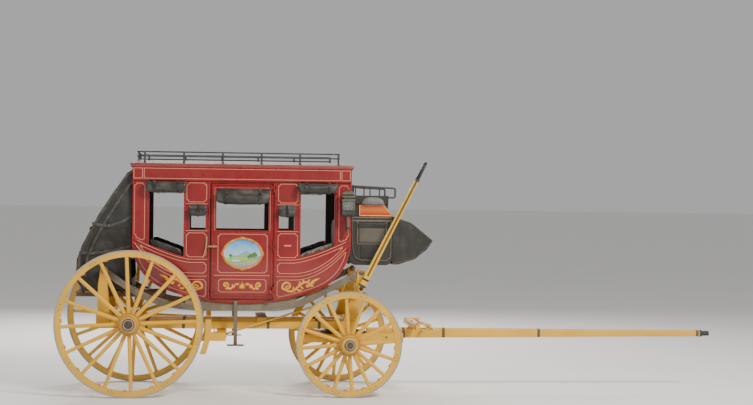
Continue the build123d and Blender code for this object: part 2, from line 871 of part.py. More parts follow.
# Rear rack: beams out from the hull's rear quarter, with slats across them
with BuildPart() as rear_rack:
    beam_low_z = rear_boot_bottom_z - rack_slat_t - rack_beam_h
    for y in rack_beam_ys:
        with Locations(((rear_boot_end_x - knee_x) / 2, y, beam_low_z + rack_beam_h / 2)):
            Box(-knee_x - rear_boot_end_x, rack_beam_w, rack_beam_h)
    slat_span = rear_boot_len - rack_slat_gap - rack_slat_w
    for i in range(rack_slats):
        slat_x = rear_boot_end_x + rack_slat_w / 2 + i * slat_span / (rack_slats - 1)
        with Locations((slat_x, 0, rear_boot_bottom_z - rack_slat_t / 2)):
            Box(rack_slat_w, 2 * rear_boot_low_half, rack_slat_t)
    add(hull.part, mode=Mode.SUBTRACT)
write(rear_rack, "rear_rack")

# Rear boot: leather on a frame, open towards the body's rear wall
rear_boot_back = (
    # distance behind the body's rear wall, height
    (boot_gap, rear_boot_top_z),
    (65, 2400),
    (342, 1980),
    (525, 1640),
    (rear_boot_len, 1450),
    (rear_boot_len, 1230),
    (rear_boot_len - rear_boot_tuck, rear_boot_bottom_z + boot_gap),
    (boot_gap, rear_boot_bottom_z + boot_gap),
)
boot_outline = [(-body_half - back, z) for back, z in rear_boot_back]


def boot_section(inset):
    """End view of the rear boot: narrow low down between the braces, wider above."""
    with BuildSketch(Plane.YZ) as face:
        with BuildLine():
            Polyline(
                (0, rear_boot_bottom_z - wall),
                (rear_boot_low_half - inset, rear_boot_bottom_z - wall),
                (rear_boot_low_half - inset, rear_boot_waist_z),
                (rear_boot_high_half - inset, rear_boot_wide_z),
                (rear_boot_high_half - inset, body_top_z),
                (0, body_top_z),
            )
            mirror(about=Plane.YZ)
        make_face()
    return face.sketch


with BuildPart() as rear_boot_leather:
    with BuildSketch(Plane.XZ) as boot_outer:
        with BuildLine():
            Polyline(*boot_outline, close=True)
        make_face()
    extrude(amount=through, both=True)
    extrude(boot_section(0), amount=through, both=True, mode=Mode.INTERSECT)
    with BuildPart(mode=Mode.PRIVATE) as boot_room_solid:
        with BuildSketch(Plane.XZ):
            offset(boot_outer.sketch, amount=-leather_t)
            with Locations((-body_half, (rear_boot_wide_z + rear_boot_waist_z) / 2)):
                Rectangle(4 * leather_t, rear_boot_wide_z - rear_boot_bottom_z)
        extrude(amount=through, both=True)
        extrude(boot_section(leather_t), amount=through, both=True, mode=Mode.INTERSECT)
    add(boot_room_solid.part, mode=Mode.SUBTRACT)
write(rear_boot_leather, "rear_boot_leather")

# Thoroughbraces: two straps of layered leather under the body, looped over shackle pins
brace_rear_bends = (
    # distance ahead of the rear axle, height of the strap's middle
    (0, 1140),
    (290, 1004),
)
brace_path = [
    (rear_standard_x, brace_end_z),
    *[(rear_axle_x + ahead, z) for ahead, z in brace_rear_bends],
    (-brace_mid_x, brace_low_z),
    (brace_mid_x, brace_low_z),
    (front_standard_x, brace_end_z),
]
standard_stations = (rear_standard_x, front_standard_x)
with BuildSketch(Plane.XZ) as brace_side:
    with BuildLine():
        FilletPolyline(*brace_path, radius=brace_bend_r)
    trace(line_width=brace_t)
    with Locations([(x, brace_end_z) for x in standard_stations]):
        Circle(brace_eye_r)
        Circle(shackle_pin_r + seat_gap, mode=Mode.SUBTRACT)

braces = {}
for side, name in ((-1, "thoroughbrace_right"), (1, "thoroughbrace_left")):
    with BuildPart() as brace:
        with Locations((0, side * brace_y, 0)):
            add(extrude(brace_side.sketch, amount=brace_w / 2, both=True, mode=Mode.PRIVATE))
    braces[side] = brace.part
    write(brace, name)

# Sills that carry the hull on the braces
with BuildPart() as body_sills:
    for side in (-1, 1):
        with Locations((0, side * (floor_half - sill_w / 2 - sill_inset), (belly_z + brace_low_z) / 2)):
            Box(2 * sill_half, sill_w, 2 * (knee_z - belly_z))
    add(hull.part, mode=Mode.SUBTRACT)
    for side in (-1, 1):
        add(braces[side], mode=Mode.SUBTRACT)
    split(bisect_by=Plane.XY.offset(brace_low_z + brace_t / 2 - sill_lap), keep=Keep.TOP)
write(body_sills, "body_sills")

# Perches: three long timbers that join the rear axle to the front transom
perch_rear_x = rear_standard_x - tail_beam_w / 2 - perch_tail
perch_front_x = front_axle_x - transom_w / 2
with BuildPart() as perches:
    with Locations([((perch_rear_x + perch_front_x) / 2, y, (perch_bottom_z + perch_top_z) / 2) for y in perch_ys]):
        Box(perch_front_x - perch_rear_x, perch_w, perch_top_z - perch_bottom_z)
write(perches, "perches")

# Irons on the perches: a tie across them and the keepers that the brake beam slides in
guide_rear_x = beam_x - beam_w / 2 - brake_travel - guide_gap
guide_front_x = beam_x + beam_w / 2 + guide_gap
guide_low_z = beam_bottom_z - seat_gap
with BuildPart() as perch_irons:
    with Locations((cross_tie_x, 0, perch_top_z + cross_tie_h / 2)):
        Box(cross_tie_w, perch_ys[-1] - perch_ys[0] + perch_w, cross_tie_h)
    for y in (perch_ys[0], perch_ys[-1]):
        with Locations(((guide_rear_x + guide_front_x) / 2, y, (perch_bottom_z + guide_low_z - guide_t) / 2)):
            Box(guide_front_x - guide_rear_x + 2 * guide_t, keeper_w, perch_bottom_z - guide_low_z + guide_t)
            with Locations((0, 0, guide_t / 2)):
                Box(guide_front_x - guide_rear_x, perch_w, perch_bottom_z - guide_low_z, mode=Mode.SUBTRACT)
write(perch_irons, "perch_irons")

# Rear axle: a bed notched over the perches, with a spindle at each end
with BuildPart() as rear_axle:
    with Locations((rear_axle_x, 0, (rear_bed_bottom_z + rear_bed_top_z) / 2)):
        Box(bed_w, 2 * bed_half, rear_bed_top_z - rear_bed_bottom_z)
    spindle_reach = rim_y + hub_outer_len - spindle_end_gap
    collar_len = rim_y - hub_inner_len - bed_half - 2 * shoulder_gap
    with Locations((rear_axle_x, 0, rear_wheel_r)):
        Cylinder(spindle_r, 2 * spindle_reach, rotation=(90, 0, 0))
        for side in (-1, 1):
            with Locations((0, side * (bed_half + rim_y - hub_inner_len) / 2, 0)):
                Cylinder(spindle_r + axle_collar, collar_len, rotation=(90, 0, 0))
    add(perches.part, mode=Mode.SUBTRACT)
write(rear_axle, "rear_axle")


def standard_profile(base_x, base_z, head_x):
    """Side view of an upright that narrows from its beam to the shackle's head."""
    with BuildSketch(Plane.XZ) as face:
        with BuildLine():
            Polyline(
                (base_x - standard_foot / 2, base_z),
                (base_x + standard_foot / 2, base_z),
                (head_x + standard_head_r, brace_end_z - standard_neck_drop),
                (head_x + standard_head_r, brace_end_z),
                (head_x - standard_head_r, brace_end_z),
                (head_x - standard_head_r - standard_neck_w, brace_end_z - standard_neck_drop),
                close=True,
            )
        make_face()
        with Locations((head_x, brace_end_z)):
            Circle(standard_head_r)
    return face.sketch


# Rear and front standards, forked at the top over the braces' loops
tail_beam_top_z = perch_top_z + tail_beam_h
with BuildPart() as rear_standards:
    with Locations((rear_standard_x, 0, perch_top_z + tail_beam_h / 2)):
        Box(tail_beam_w, 2 * transom_half, tail_beam_h)
    for side in (-1, 1):
        with Locations((0, side * brace_y, 0)):
            add(extrude(standard_profile(rear_standard_x, tail_beam_top_z, rear_standard_x),
                        amount=standard_w / 2, both=True, mode=Mode.PRIVATE))
        with Locations((rear_standard_x, side * brace_y, standard_slot_z + brace_end_z / 2)):
            Box(3 * tail_beam_w, brace_w + 2 * brace_side_gap, brace_end_z, mode=Mode.SUBTRACT)
        with Locations((rear_standard_x, side * brace_y, brace_end_z)):
            Cylinder(shackle_pin_r, standard_w, rotation=(90, 0, 0))
    for side in (-1, 1):
        add(braces[side], mode=Mode.SUBTRACT)
write(rear_standards, "rear_standards")

front_foot_x = front_axle_x + front_standard_foot_lead
with BuildPart() as front_transom:
    with Locations((front_axle_x, 0, (transom_bottom_z + transom_top_z) / 2)):
        Box(transom_w, 2 * transom_half, transom_top_z - transom_bottom_z)
    for side in (-1, 1):
        with Locations((0, side * brace_y, 0)):
            add(extrude(standard_profile(front_foot_x, transom_top_z, front_standard_x),
                        amount=standard_w / 2, both=True, mode=Mode.PRIVATE))
        with Locations((front_standard_x, side * brace_y, standard_slot_z + brace_end_z / 2)):
            Box(3 * tail_beam_w, brace_w + 2 * brace_side_gap, brace_end_z, mode=Mode.SUBTRACT)
        with Locations((front_standard_x, side * brace_y, brace_end_z)):
            Cylinder(shackle_pin_r, standard_w, rotation=(90, 0, 0))
    for side in (-1, 1):
        add(braces[side], mode=Mode.SUBTRACT)
    with Locations((front_axle_x, 0, transom_bottom_z)):
        Cylinder(kingpin_r + running_gap, 4 * transom_w, mode=Mode.SUBTRACT)
    with Locations((lever_pivot_x, -brace_y, lever_pivot_z)):
        Cylinder(brake_shaft_r + running_gap, 2 * standard_w, rotation=(90, 0, 0), mode=Mode.SUBTRACT)
write(front_transom, "front_transom")

# Turning plates: one ring under the transom, one on the front axle's bed
for name, low_z in (("turn_plate_upper", turn_gap_z), ("turn_plate_lower", front_bed_top_z)):
    with BuildPart() as plate:
        with BuildSketch(Plane.XY.offset(low_z)):
            with Locations((front_axle_x, 0)):
                Circle(plate_r + plate_band / 2)
                Circle(plate_r - plate_band / 2, mode=Mode.SUBTRACT)
        extrude(amount=plate_t)
    write(plate, name)

# Futchells: two beams through the front bed that grip the pole, with a sway bar behind
pole_grip_y = pole_root_w / 2 + pole_gap + futchell_w / 2
with BuildPart() as futchells:
    for side in (-1, 1):
        with BuildSketch(Plane.XY.offset(futchell_bottom_z)):
            with BuildLine():
                FilletPolyline(
                    (futchell_rear_x, side * futchell_rear_y),
                    (front_axle_x, side * futchell_axle_y),
                    (futchell_nose_x, side * pole_grip_y),
                    (futchell_front_x, side * pole_grip_y),
                    radius=futchell_bend_r,
                )
            trace(line_width=futchell_w)
        extrude(amount=futchell_top_z - futchell_bottom_z)
    with BuildSketch(Plane.XY.offset(futchell_bottom_z - futchell_plate_t)):
        with Locations(((futchell_nose_x + futchell_front_x) / 2, 0)):
            Rectangle(futchell_front_x - futchell_nose_x, 2 * pole_grip_y + futchell_w)
    extrude(amount=futchell_plate_t)
    with BuildSketch(Plane.XY.offset(futchell_top_z)):
        with BuildLine():
            CenterArc((front_axle_x, 0), sway_bar_r, 180 - sway_bar_angle, 2 * sway_bar_angle)
        trace(line_width=sway_bar_w)
    extrude(amount=sway_bar_top_z - futchell_top_z)
write(futchells, "futchells")

# Front axle: a bed notched for the futchells, its kingpin and spindles
with BuildPart() as front_axle:
    with Locations((front_axle_x, 0, (front_bed_bottom_z + front_bed_top_z) / 2)):
        Box(bed_w, 2 * bed_half, front_bed_top_z - front_bed_bottom_z)
    with Locations((front_axle_x, 0, front_wheel_r)):
        Cylinder(spindle_r, 2 * spindle_reach, rotation=(90, 0, 0))
        for side in (-1, 1):
            with Locations((0, side * (bed_half + rim_y - hub_inner_len) / 2, 0)):
                Cylinder(spindle_r + axle_collar, collar_len, rotation=(90, 0, 0))
    kingpin_top_z = transom_top_z + kingpin_head
    with Locations((front_axle_x, 0, (front_bed_bottom_z + kingpin_top_z) / 2)):
        Cylinder(kingpin_r, kingpin_top_z - front_bed_bottom_z)
    add(futchells.part, mode=Mode.SUBTRACT)
write(front_axle, "front_axle")

# Pole, tapered to its iron tip, with a seat for the evener on top
pole_wood_end_x = pole_tip_x - pole_iron_len
with BuildPart() as pole:
    with BuildSketch(Plane.YZ.offset(pole_root_x)):
        with Locations((0, pole_z)):
            RectangleRounded(pole_root_w, pole_root_h, pole_corner_r)
    extrude(amount=futchell_front_x - pole_root_x)
    with BuildSketch(Plane.YZ.offset(futchell_front_x)):
        with Locations((0, pole_z)):
            RectangleRounded(pole_root_w, pole_root_h, pole_corner_r)
    with BuildSketch(Plane.YZ.offset(pole_wood_end_x)):
        with Locations((0, pole_z)):
            RectangleRounded(pole_tip_w, pole_tip_h, pole_corner_r)
    loft()
    with Locations((evener_x, 0, (pole_z + evener_seat_z) / 2)):
        Box(2 * (evener_boss_r + evener_seat_margin), pole_tip_w, evener_seat_z - pole_z)
        Cylinder(evener_pin_r + running_gap, 4 * pole_root_h, mode=Mode.SUBTRACT)
write(pole, "pole")

with BuildPart() as pole_iron:
    with Locations((pole_wood_end_x + pole_iron_len / 2, 0, pole_z)):
        Cylinder(pole_iron_r, pole_iron_len, rotation=(0, 90, 0))
    with Locations((pole_wood_end_x + pole_collar_len / 2, 0, pole_z)):
        Cylinder(pole_iron_r + pole_collar_rise, pole_collar_len, rotation=(0, 90, 0))
write(pole_iron, "pole_iron")

# Evener on the pole's seat, with clips that hold the singletrees
evener_low_z = evener_seat_z + seat_gap + clip_t
evener_high_z = evener_low_z + evener_h
singletree_x = evener_x + singletree_reach
with BuildPart() as evener:
    with BuildSketch(Plane.XY.offset(evener_low_z)):
        with BuildLine():
            Polyline(
                (evener_x + evener_w / 2, 0),
                (evener_x + evener_end_w / 2, evener_half),
                (evener_x - evener_end_w / 2, evener_half),
                (evener_x - evener_w / 2, 0),
                (evener_x - evener_end_w / 2, -evener_half),
                (evener_x + evener_end_w / 2, -evener_half),
                close=True,
            )
        make_face()
    extrude(amount=evener_h)
    with Locations((evener_x, 0, evener_low_z - clip_t / 2)):
        Cylinder(evener_boss_r, clip_t)
    pin_low_z = pole_z - pole_root_h / 2
    pin_high_z = evener_high_z + evener_pin_head
    with Locations((evener_x, 0, (pin_low_z + pin_high_z) / 2)):
        Cylinder(evener_pin_r, pin_high_z - pin_low_z)
    for side in (-1, 1):
        for z in (evener_low_z - clip_t / 2, evener_high_z + clip_t / 2):
            with Locations((evener_x + singletree_reach / 2, side * singletree_y, z)):
                Box(singletree_reach + clip_w, clip_w, clip_t)
        with Locations((singletree_x, side * singletree_y, (evener_low_z + evener_high_z) / 2)):
            Cylinder(clip_pin_r, evener_h + 2 * clip_t)
write(evener, "evener")

# Singletrees: turned bars with an iron eye for a trace at each end
tree_z = (evener_low_z + evener_high_z) / 2
for side, name in ((-1, "singletree_right"), (1, "singletree_left")):
    with BuildPart() as singletree:
        with Locations((singletree_x, side * singletree_y, tree_z)):
            for end in (-1, 1):
                with Locations((0, end * singletree_half / 2, 0)):
                    Cone(singletree_w / 2, singletree_end_r, singletree_half, rotation=(-90 * end, 0, 0))
                with Locations((trace_eye_reach / 2, end * (singletree_half - trace_eye_w / 2), 0)):
                    Box(trace_eye_reach, trace_eye_w, trace_eye_t)
                with Locations((trace_eye_reach, end * (singletree_half - trace_eye_w / 2), 0)):
                    Cylinder(trace_eye_w / 2, trace_eye_t)
                    Hole(trace_eye_r)
            Cylinder(clip_pin_r + running_gap, 2 * singletree_w, mode=Mode.SUBTRACT)
    write(singletree, name)


def wheel_blank(radius, cap_r, phase):
    """Hub, spokes and felloe about +Z, its rim on the XY plane and its nose up."""
    felloe_outer = radius - tyre_thick
    felloe_inner = felloe_outer - felloe_depth
    root_r = hub_r - spoke_root_sink
    tip_r = felloe_inner + spoke_tip_sink
    rise = spoke_dish / (tip_r - root_r)
    cap_face_z = hub_outer_len + cap_len - cap_nut_h
    outward = Vector(1, 0, rise).normalized()
    with BuildPart() as spoke:
        with BuildSketch(Plane((root_r, 0, -spoke_dish), z_dir=outward, x_dir=(0, 1, 0))):
            RectangleRounded(spoke_root_w, spoke_root_t, spoke_root_w / 2 - spoke_corner_gap)
        with BuildSketch(Plane((tip_r, 0, 0), z_dir=outward, x_dir=(0, 1, 0))):
            RectangleRounded(spoke_tip_w, spoke_tip_t, spoke_tip_w / 2 - spoke_corner_gap)
        loft()
    with BuildPart() as blank:
        with BuildSketch(Plane.XZ):
            with BuildLine():
                Polyline(
                    (0, -hub_inner_len),
                    (hub_end_r, -hub_inner_len),
                    (hub_end_r + hub_band_rise, -hub_inner_len + hub_band_len),
                    (hub_r, -spoke_dish - spoke_root_t / 2 - hub_flange_margin),
                    (hub_r, -spoke_dish + spoke_root_t / 2 + hub_flange_margin),
                    (hub_end_r + hub_nose_rise, hub_outer_len - hub_nose_len),
                    (hub_end_r - hub_nose_taper, hub_outer_len),
                    (cap_r, hub_outer_len),
                    (cap_r, cap_face_z - cap_ease),
                    (cap_r - cap_ease, cap_face_z),
                    (0, cap_face_z),
                    close=True,
                )
            make_face()
        revolve(axis=Axis.Z)
        with BuildSketch(Plane.XY.offset(cap_face_z)):
            RegularPolygon(cap_nut_r, 6)
        extrude(amount=cap_nut_h)
        with BuildSketch(Plane.XY.offset(-felloe_width / 2)):
            Circle(felloe_outer)
            Circle(felloe_inner, mode=Mode.SUBTRACT)
        extrude(amount=felloe_width)
        with PolarLocations(0, spoke_count, start_angle=90 + phase):
            add(spoke.part)
        with Locations((0, 0, (hub_outer_len - hub_inner_len) / 2 - shoulder_gap)):
            bore_len = hub_outer_len + hub_inner_len + 2 * shoulder_gap
            Cylinder(spindle_r + running_gap, bore_len, mode=Mode.SUBTRACT)
    return blank.part


def tyre_blank(radius):
    """Iron tyre about +Z, shrunk on the felloe."""
    with BuildPart() as ring:
        with BuildSketch(Plane.XY.offset(-tyre_width / 2)):
            Circle(radius)
            Circle(radius - tyre_thick, mode=Mode.SUBTRACT)
        extrude(amount=tyre_width)
    return ring.part


# Wheels and their tyres, each turned so that its hub's nose points outboard
for end, station, radius, cap_r, phase in (
    ("rear", rear_axle_x, rear_wheel_r, rear_cap_r, rear_spoke_phase),
    ("front", front_axle_x, front_wheel_r, front_cap_r, front_spoke_phase),
):
    blank = wheel_blank(radius, cap_r, phase)
    tyre = tyre_blank(radius)
    for side, side_name in ((-1, "right"), (1, "left")):
        hub_plane = Plane((station, side * rim_y, radius), x_dir=(-side, 0, 0), z_dir=(0, side, 0))
        for form, form_name in ((blank, "wheel"), (tyre, "tyre")):
            with BuildPart() as turned:
                with Locations(hub_plane.location):
                    add(form)
            write(turned, f"{form_name}_{end}_{side_name}")

# Brake lever on a shaft through the right standard, with an arm at the inner end
lean_x = lever_top_x - lever_pivot_x
lean_z = lever_top_z - lever_pivot_z
lever_len = sqrt(lean_x**2 + lean_z**2)
lever_dir = Vector(lean_x / lever_len, 0, lean_z / lever_len)
shaft_len = brake_arm_y + brake_arm_t / 2 - lever_y
arm_end_x = lever_pivot_x + brake_arm_len * sin(radians(lever_swing / 2))
arm_end_z = lever_pivot_z - brake_arm_len * cos(radians(lever_swing / 2))
rod_y = brake_arm_y + brake_arm_t / 2 + brake_rod_side_gap + brake_rod_r
with BuildPart() as brake_lever:
    with BuildSketch(Plane((lever_pivot_x, lever_y, lever_pivot_z), x_dir=(0, 1, 0), z_dir=lever_dir)):
        Rectangle(lever_t, lever_w)
    with BuildSketch(Plane((lever_top_x, lever_y, lever_top_z), x_dir=(0, 1, 0), z_dir=lever_dir)):
        Rectangle(lever_t, lever_tip_w)
    loft()
    with Locations((lever_pivot_x, lever_y, lever_pivot_z)):
        Cylinder(lever_w / 2, lever_t, rotation=(90, 0, 0))
        with Locations((0, shaft_len / 2, 0)):
            Cylinder(brake_shaft_r, shaft_len, rotation=(90, 0, 0))
    with BuildSketch(Plane((lever_top_x, lever_y, lever_top_z), x_dir=(0, 1, 0), z_dir=lever_dir)):
        Circle(lever_grip_r)
    extrude(amount=lever_grip_len)
    with BuildPart(mode=Mode.PRIVATE) as arm:
        with BuildSketch(Plane.XZ):
            with BuildLine():
                Line((lever_pivot_x, lever_pivot_z), (arm_end_x, arm_end_z))
            trace(line_width=2 * brake_shaft_r)
            with Locations((lever_pivot_x, lever_pivot_z)):
                Circle(brake_shaft_r + brake_boss_wall)
            with Locations((arm_end_x, arm_end_z)):
                Circle(brake_shaft_r)
        extrude(amount=brake_arm_t / 2, both=True)
    with Locations((0, brake_arm_y, 0)):
        add(arm.part)
    with Locations((arm_end_x, rod_y, arm_end_z)):
        Cylinder(brake_pin_r, 2 * (rod_y - brake_arm_y), rotation=(90, 0, 0))
write(brake_lever, "brake_lever")

# Brake beam across the perches' keepers, with a curved shoe before each rear tyre
shoe_face_r = rear_wheel_r + shoe_gap
with BuildPart() as brake_beam:
    with Locations((beam_x, 0, (beam_bottom_z + beam_top_z) / 2)):
        Box(beam_w, 2 * (rim_y + shoe_w / 2), beam_top_z - beam_bottom_z)
    with BuildSketch(Plane.XZ) as shoe_side:
        with Locations((rear_axle_x, rear_wheel_r)):
            Circle(shoe_face_r + shoe_t)
            Circle(shoe_face_r, mode=Mode.SUBTRACT)
        with Locations((rear_axle_x + shoe_face_r, shoe_mid_z)):
            Rectangle(2 * shoe_face_r, shoe_len, mode=Mode.INTERSECT)
        with Locations(((rear_axle_x + shoe_face_r + beam_x) / 2, (beam_bottom_z + beam_top_z) / 2)):
            Rectangle(beam_x - rear_axle_x - shoe_face_r, beam_top_z - beam_bottom_z)
        with Locations((rear_axle_x, rear_wheel_r)):
            Circle(shoe_face_r, mode=Mode.SUBTRACT)
    for side in (-1, 1):
        with Locations((0, side * rim_y, 0)):
            add(extrude(shoe_side.sketch, amount=shoe_w / 2, both=True, mode=Mode.PRIVATE))
write(brake_beam, "brake_beam")

# Brake rod from the beam to an open eye round the lever arm's pin
rod_start = Vector(beam_x + beam_w / 2, rod_y, (beam_bottom_z + beam_top_z) / 2)
rod_end = Vector(arm_end_x, rod_y, arm_end_z)
rod_run = rod_end - rod_start
eye_r = brake_pin_r + brake_eye_gap
with BuildPart() as brake_rod:
    with BuildSketch(Plane(rod_start - rod_run.normalized() * beam_w / 4, z_dir=rod_run)):
        Circle(brake_rod_r)
    extrude(amount=rod_run.length + beam_w / 4)
    with Locations(rod_end):
        Cylinder(eye_r + brake_rod_r, brake_eye_t, rotation=(90, 0, 0))
        Cylinder(eye_r, 3 * brake_eye_t, rotation=(90, 0, 0), mode=Mode.SUBTRACT)
    add(brake_beam.part, mode=Mode.SUBTRACT)
write(brake_rod, "brake_rod")

# Steps: an iron tread on each side, hung from the hull outside the brace
hanger_y = brace_y + brace_w / 2 + step_hanger_gap + step_hanger_t / 2
with BuildPart() as steps:
    for side in (-1, 1):
        with Locations((step_x, side * hanger_y, (step_z + step_top_z) / 2)):
            Box(step_hanger_w, step_hanger_t, step_top_z - step_z)
        with Locations((step_x, side * (hanger_y + floor_half - wall) / 2, step_top_z - step_arm_h / 2)):
            Box(step_hanger_w, hanger_y - floor_half + wall, step_arm_h)
        with Locations((step_x, side * (hanger_y + step_width / 2), step_z + step_t / 2)):
            Box(step_len, step_width, step_t)
    add(hull.part, mode=Mode.SUBTRACT)
write(steps, "steps")
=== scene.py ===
"""Looks of a thoroughbrace stagecoach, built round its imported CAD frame, in metres."""

import json
from itertools import product
from math import asin, atan2, cos, hypot, pi, radians, sin, sqrt

import bpy
from mathutils import Matrix, Vector, noise


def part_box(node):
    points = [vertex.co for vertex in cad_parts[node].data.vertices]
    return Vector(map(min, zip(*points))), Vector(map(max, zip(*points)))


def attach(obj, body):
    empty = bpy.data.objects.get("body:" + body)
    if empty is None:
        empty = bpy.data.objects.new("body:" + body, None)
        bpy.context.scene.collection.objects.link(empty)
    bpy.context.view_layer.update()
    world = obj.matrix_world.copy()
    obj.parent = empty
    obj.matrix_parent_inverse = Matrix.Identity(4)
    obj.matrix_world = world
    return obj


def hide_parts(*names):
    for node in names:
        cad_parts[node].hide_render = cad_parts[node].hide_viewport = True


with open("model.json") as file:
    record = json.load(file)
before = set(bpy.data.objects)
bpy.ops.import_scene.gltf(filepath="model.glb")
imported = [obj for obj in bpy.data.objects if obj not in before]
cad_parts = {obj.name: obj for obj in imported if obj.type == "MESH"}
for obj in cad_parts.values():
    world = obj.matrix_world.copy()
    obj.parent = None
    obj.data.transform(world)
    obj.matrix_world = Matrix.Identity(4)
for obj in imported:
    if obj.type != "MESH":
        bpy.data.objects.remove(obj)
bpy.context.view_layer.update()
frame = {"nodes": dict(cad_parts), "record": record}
nodes = frame["nodes"]
SIDES = (("right", -1), ("left", 1))
ENDS = (("front", 1), ("rear", -1))

# Stations: x from the middle of the body (mid_x in the frame), z from the ground
mid_x = (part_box("roof")[0].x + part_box("roof")[1].x) / 2
body_half = 1.175
belly_z = 0.990
knee_x = 0.830
knee_z = 1.150
floor_half = 0.560
belt_half = 0.655
roofline_half = 0.642
turn_under_top_z = 1.500
roofline_z = 2.525
cornice_bottom_z = 2.318
cornice_face = 0.6615
door_half = 0.334
door_bottom_z = 1.042
door_top_z = 2.290
door_window_half = 0.280
door_window_sill_z = 1.790
door_window_top_z = 2.235
small_window_x = 0.478
small_window_half = 0.084
small_sill_z = 1.795
small_top_z = 2.060
large_near_x = 0.628
large_far_x = 0.995
large_near_z = 1.500
large_far_z = 1.628
large_top_z = 2.310
rail_high_z = 2.070
rail_low_z = 1.780
front_axle_x = 1.160
rear_axle_x = -1.190
rim_y = 0.785
front_wheel_r = 0.572
rear_wheel_r = 0.785
spoke_count = 16
tyre_thick = 0.012
felloe_depth = 0.060
felloe_half = 0.023
hub_outer_len = 0.100
cap_y = rim_y + hub_outer_len + 0.0005
brace_y = 0.538
brace_w = 0.070
brace_t = 0.070
brace_end_z = 1.340
boot_half = 0.500

UP, ALONG, ACROSS = (0, 0, 1), (1, 0, 0), (0, 1, 0)
MITRE_LEAST = 0.5  # cosine that limits how far a mitred corner reaches
SUNK = -0.0005  # how far painted trim starts under its surface

belly_r = (knee_x**2 + (knee_z - belly_z)**2) / (2 * (knee_z - belly_z))
knee_angle = asin(knee_x / belly_r)
quarter_r = (body_half - knee_x) / (1 - sin(knee_angle))
belt_z = knee_z + quarter_r * cos(knee_angle)


# Mesh helpers: a shape is (points, faces), and piece() makes an object of it

def at(x, y, z):
    """The point at a station along the body."""
    return Vector((mid_x + x, y, z))


def clamped(value):
    return max(0.0, min(1.0, value))


def merged(parts):
    """Several (points, faces) as one."""
    points, faces = [], []
    for more_points, more_faces in parts:
        start = len(points)
        points.extend(more_points)
        faces.extend([tuple(i + start for i in f) for f in more_faces])
    return points, faces


def turn_of(count):
    """Angles of one turn."""
    return [2 * pi * i / count for i in range(count)]


def skin(rings, closed=False, ring_closed=True, caps=True):
    """A skin over rings of equal length, in order."""
    count, size = len(rings), len(rings[0])
    points = [p for ring in rings for p in ring]
    faces = []
    for i in range(count if closed else count - 1):
        for j in range(size if ring_closed else size - 1):
            a, b = i * size + j, i * size + (j + 1) % size
            c, d = ((i + 1) % count) * size + (j + 1) % size, ((i + 1) % count) * size + j
            faces.append((a, b, c, d))
    if caps and not closed and ring_closed:
        faces.append(tuple(reversed(range(size))))
        faces.append(tuple(range((count - 1) * size, count * size)))
    return points, faces


def frames_along(points, closed=False):
    """(tangent, normal, binormal) at each point, turned as little as possible."""
    pts = [Vector(p) for p in points]
    count = len(pts)
    tangents = []
    for i in range(count):
        before = pts[i - 1] if i or closed else pts[0]
        after = pts[(i + 1) % count] if i < count - 1 or closed else pts[-1]
        tangents.append((after - before).normalized())
    up = Vector(UP) if abs(tangents[0].z) < 0.9 else Vector(ACROSS)
    normal = (up - tangents[0] * up.dot(tangents[0])).normalized()
    found = []
    for t in tangents:
        normal = (normal - t * normal.dot(t)).normalized()
        found.append((t, normal, t.cross(normal)))
    return found


def tube(points, radius, sides=10, closed=False, flat=1.0):
    """A round or flattened rod along points; radius may be a function of the share along it."""
    rings = []
    last = max(1, len(points) - 1)
    for i, (p, (_, n, b)) in enumerate(zip(points, frames_along(points, closed))):
        r = radius(i / last) if callable(radius) else radius
        rings.append([Vector(p) + n * (r * cos(a)) + b * (r * flat * sin(a)) for a in turn_of(sides)])
    return skin(rings, closed=closed)


def strap(points, width, thick, across):
    """A flat strap along points whose width lies along the direction across."""
    rings = []
    side = Vector(across).normalized()
    for p, (t, _, _) in zip(points, frames_along(points)):
        flat_side = (side - t * side.dot(t)).normalized()
        up = t.cross(flat_side)
        half, high = width / 2, thick / 2
        corners = ((-half, -high), (half, -high), (half, high), (-half, high))
        rings.append([Vector(p) + flat_side * u + up * v for u, v in corners])
    return skin(rings)


def lathe(profile, origin, axis, sides=32):
    """A turned form: profile holds (distance along axis, radius)."""
    axis = Vector(axis).normalized()
    first = axis.orthogonal().normalized()
    second = axis.cross(first)
    rings = []
    for along, r in profile:
        centre = Vector(origin) + axis * along
        rings.append([centre + first * (r * cos(a)) + second * (r * sin(a)) for a in turn_of(sides)])
    return skin(rings)


def block(low, high):
    """A box from its lowest and highest corner."""
    low, high = Vector(low), Vector(high)
    low, high = Vector(map(min, low, high)), Vector(map(max, low, high))
    xs, ys, zs = (low.x, high.x), (low.y, high.y), (low.z, high.z)
    points = [Vector((x, y, z)) for x in xs for y in ys for z in zs]
    faces = [(0, 1, 3, 2), (4, 6, 7, 5), (0, 4, 5, 1), (2, 3, 7, 6), (0, 2, 6, 4), (1, 5, 7, 3)]
    return points, faces


def bolt(place, axis, r, rise=None):
    """A domed bolt head on a thin round washer."""
    rise = rise or r * 0.55
    profile = [(0, r * 1.25), (rise * 0.2, r * 1.22), (rise * 0.25, r), (rise * 0.7, r * 0.82),
               (rise, r * 0.35)]
    return lathe(profile, place, axis, 14)


def rounded(points, radius, count=6, closed=False):
    """A polyline of 3-D points with its corners rounded."""
    pts = [Vector(p) for p in points]
    found = []
    total = len(pts)
    for i, p in enumerate(pts):
        if not closed and i in (0, total - 1):
            found.append(p)
            continue
        a, b = pts[i - 1] - p, pts[(i + 1) % total] - p
        reach = min(radius, a.length * 0.45, b.length * 0.45)
        start, end = p + a.normalized() * reach, p + b.normalized() * reach
        for k in range(count):
            t = k / (count - 1)
            found.append(start * (1 - t)**2 + p * (2 * t * (1 - t)) + end * t**2)
    return found


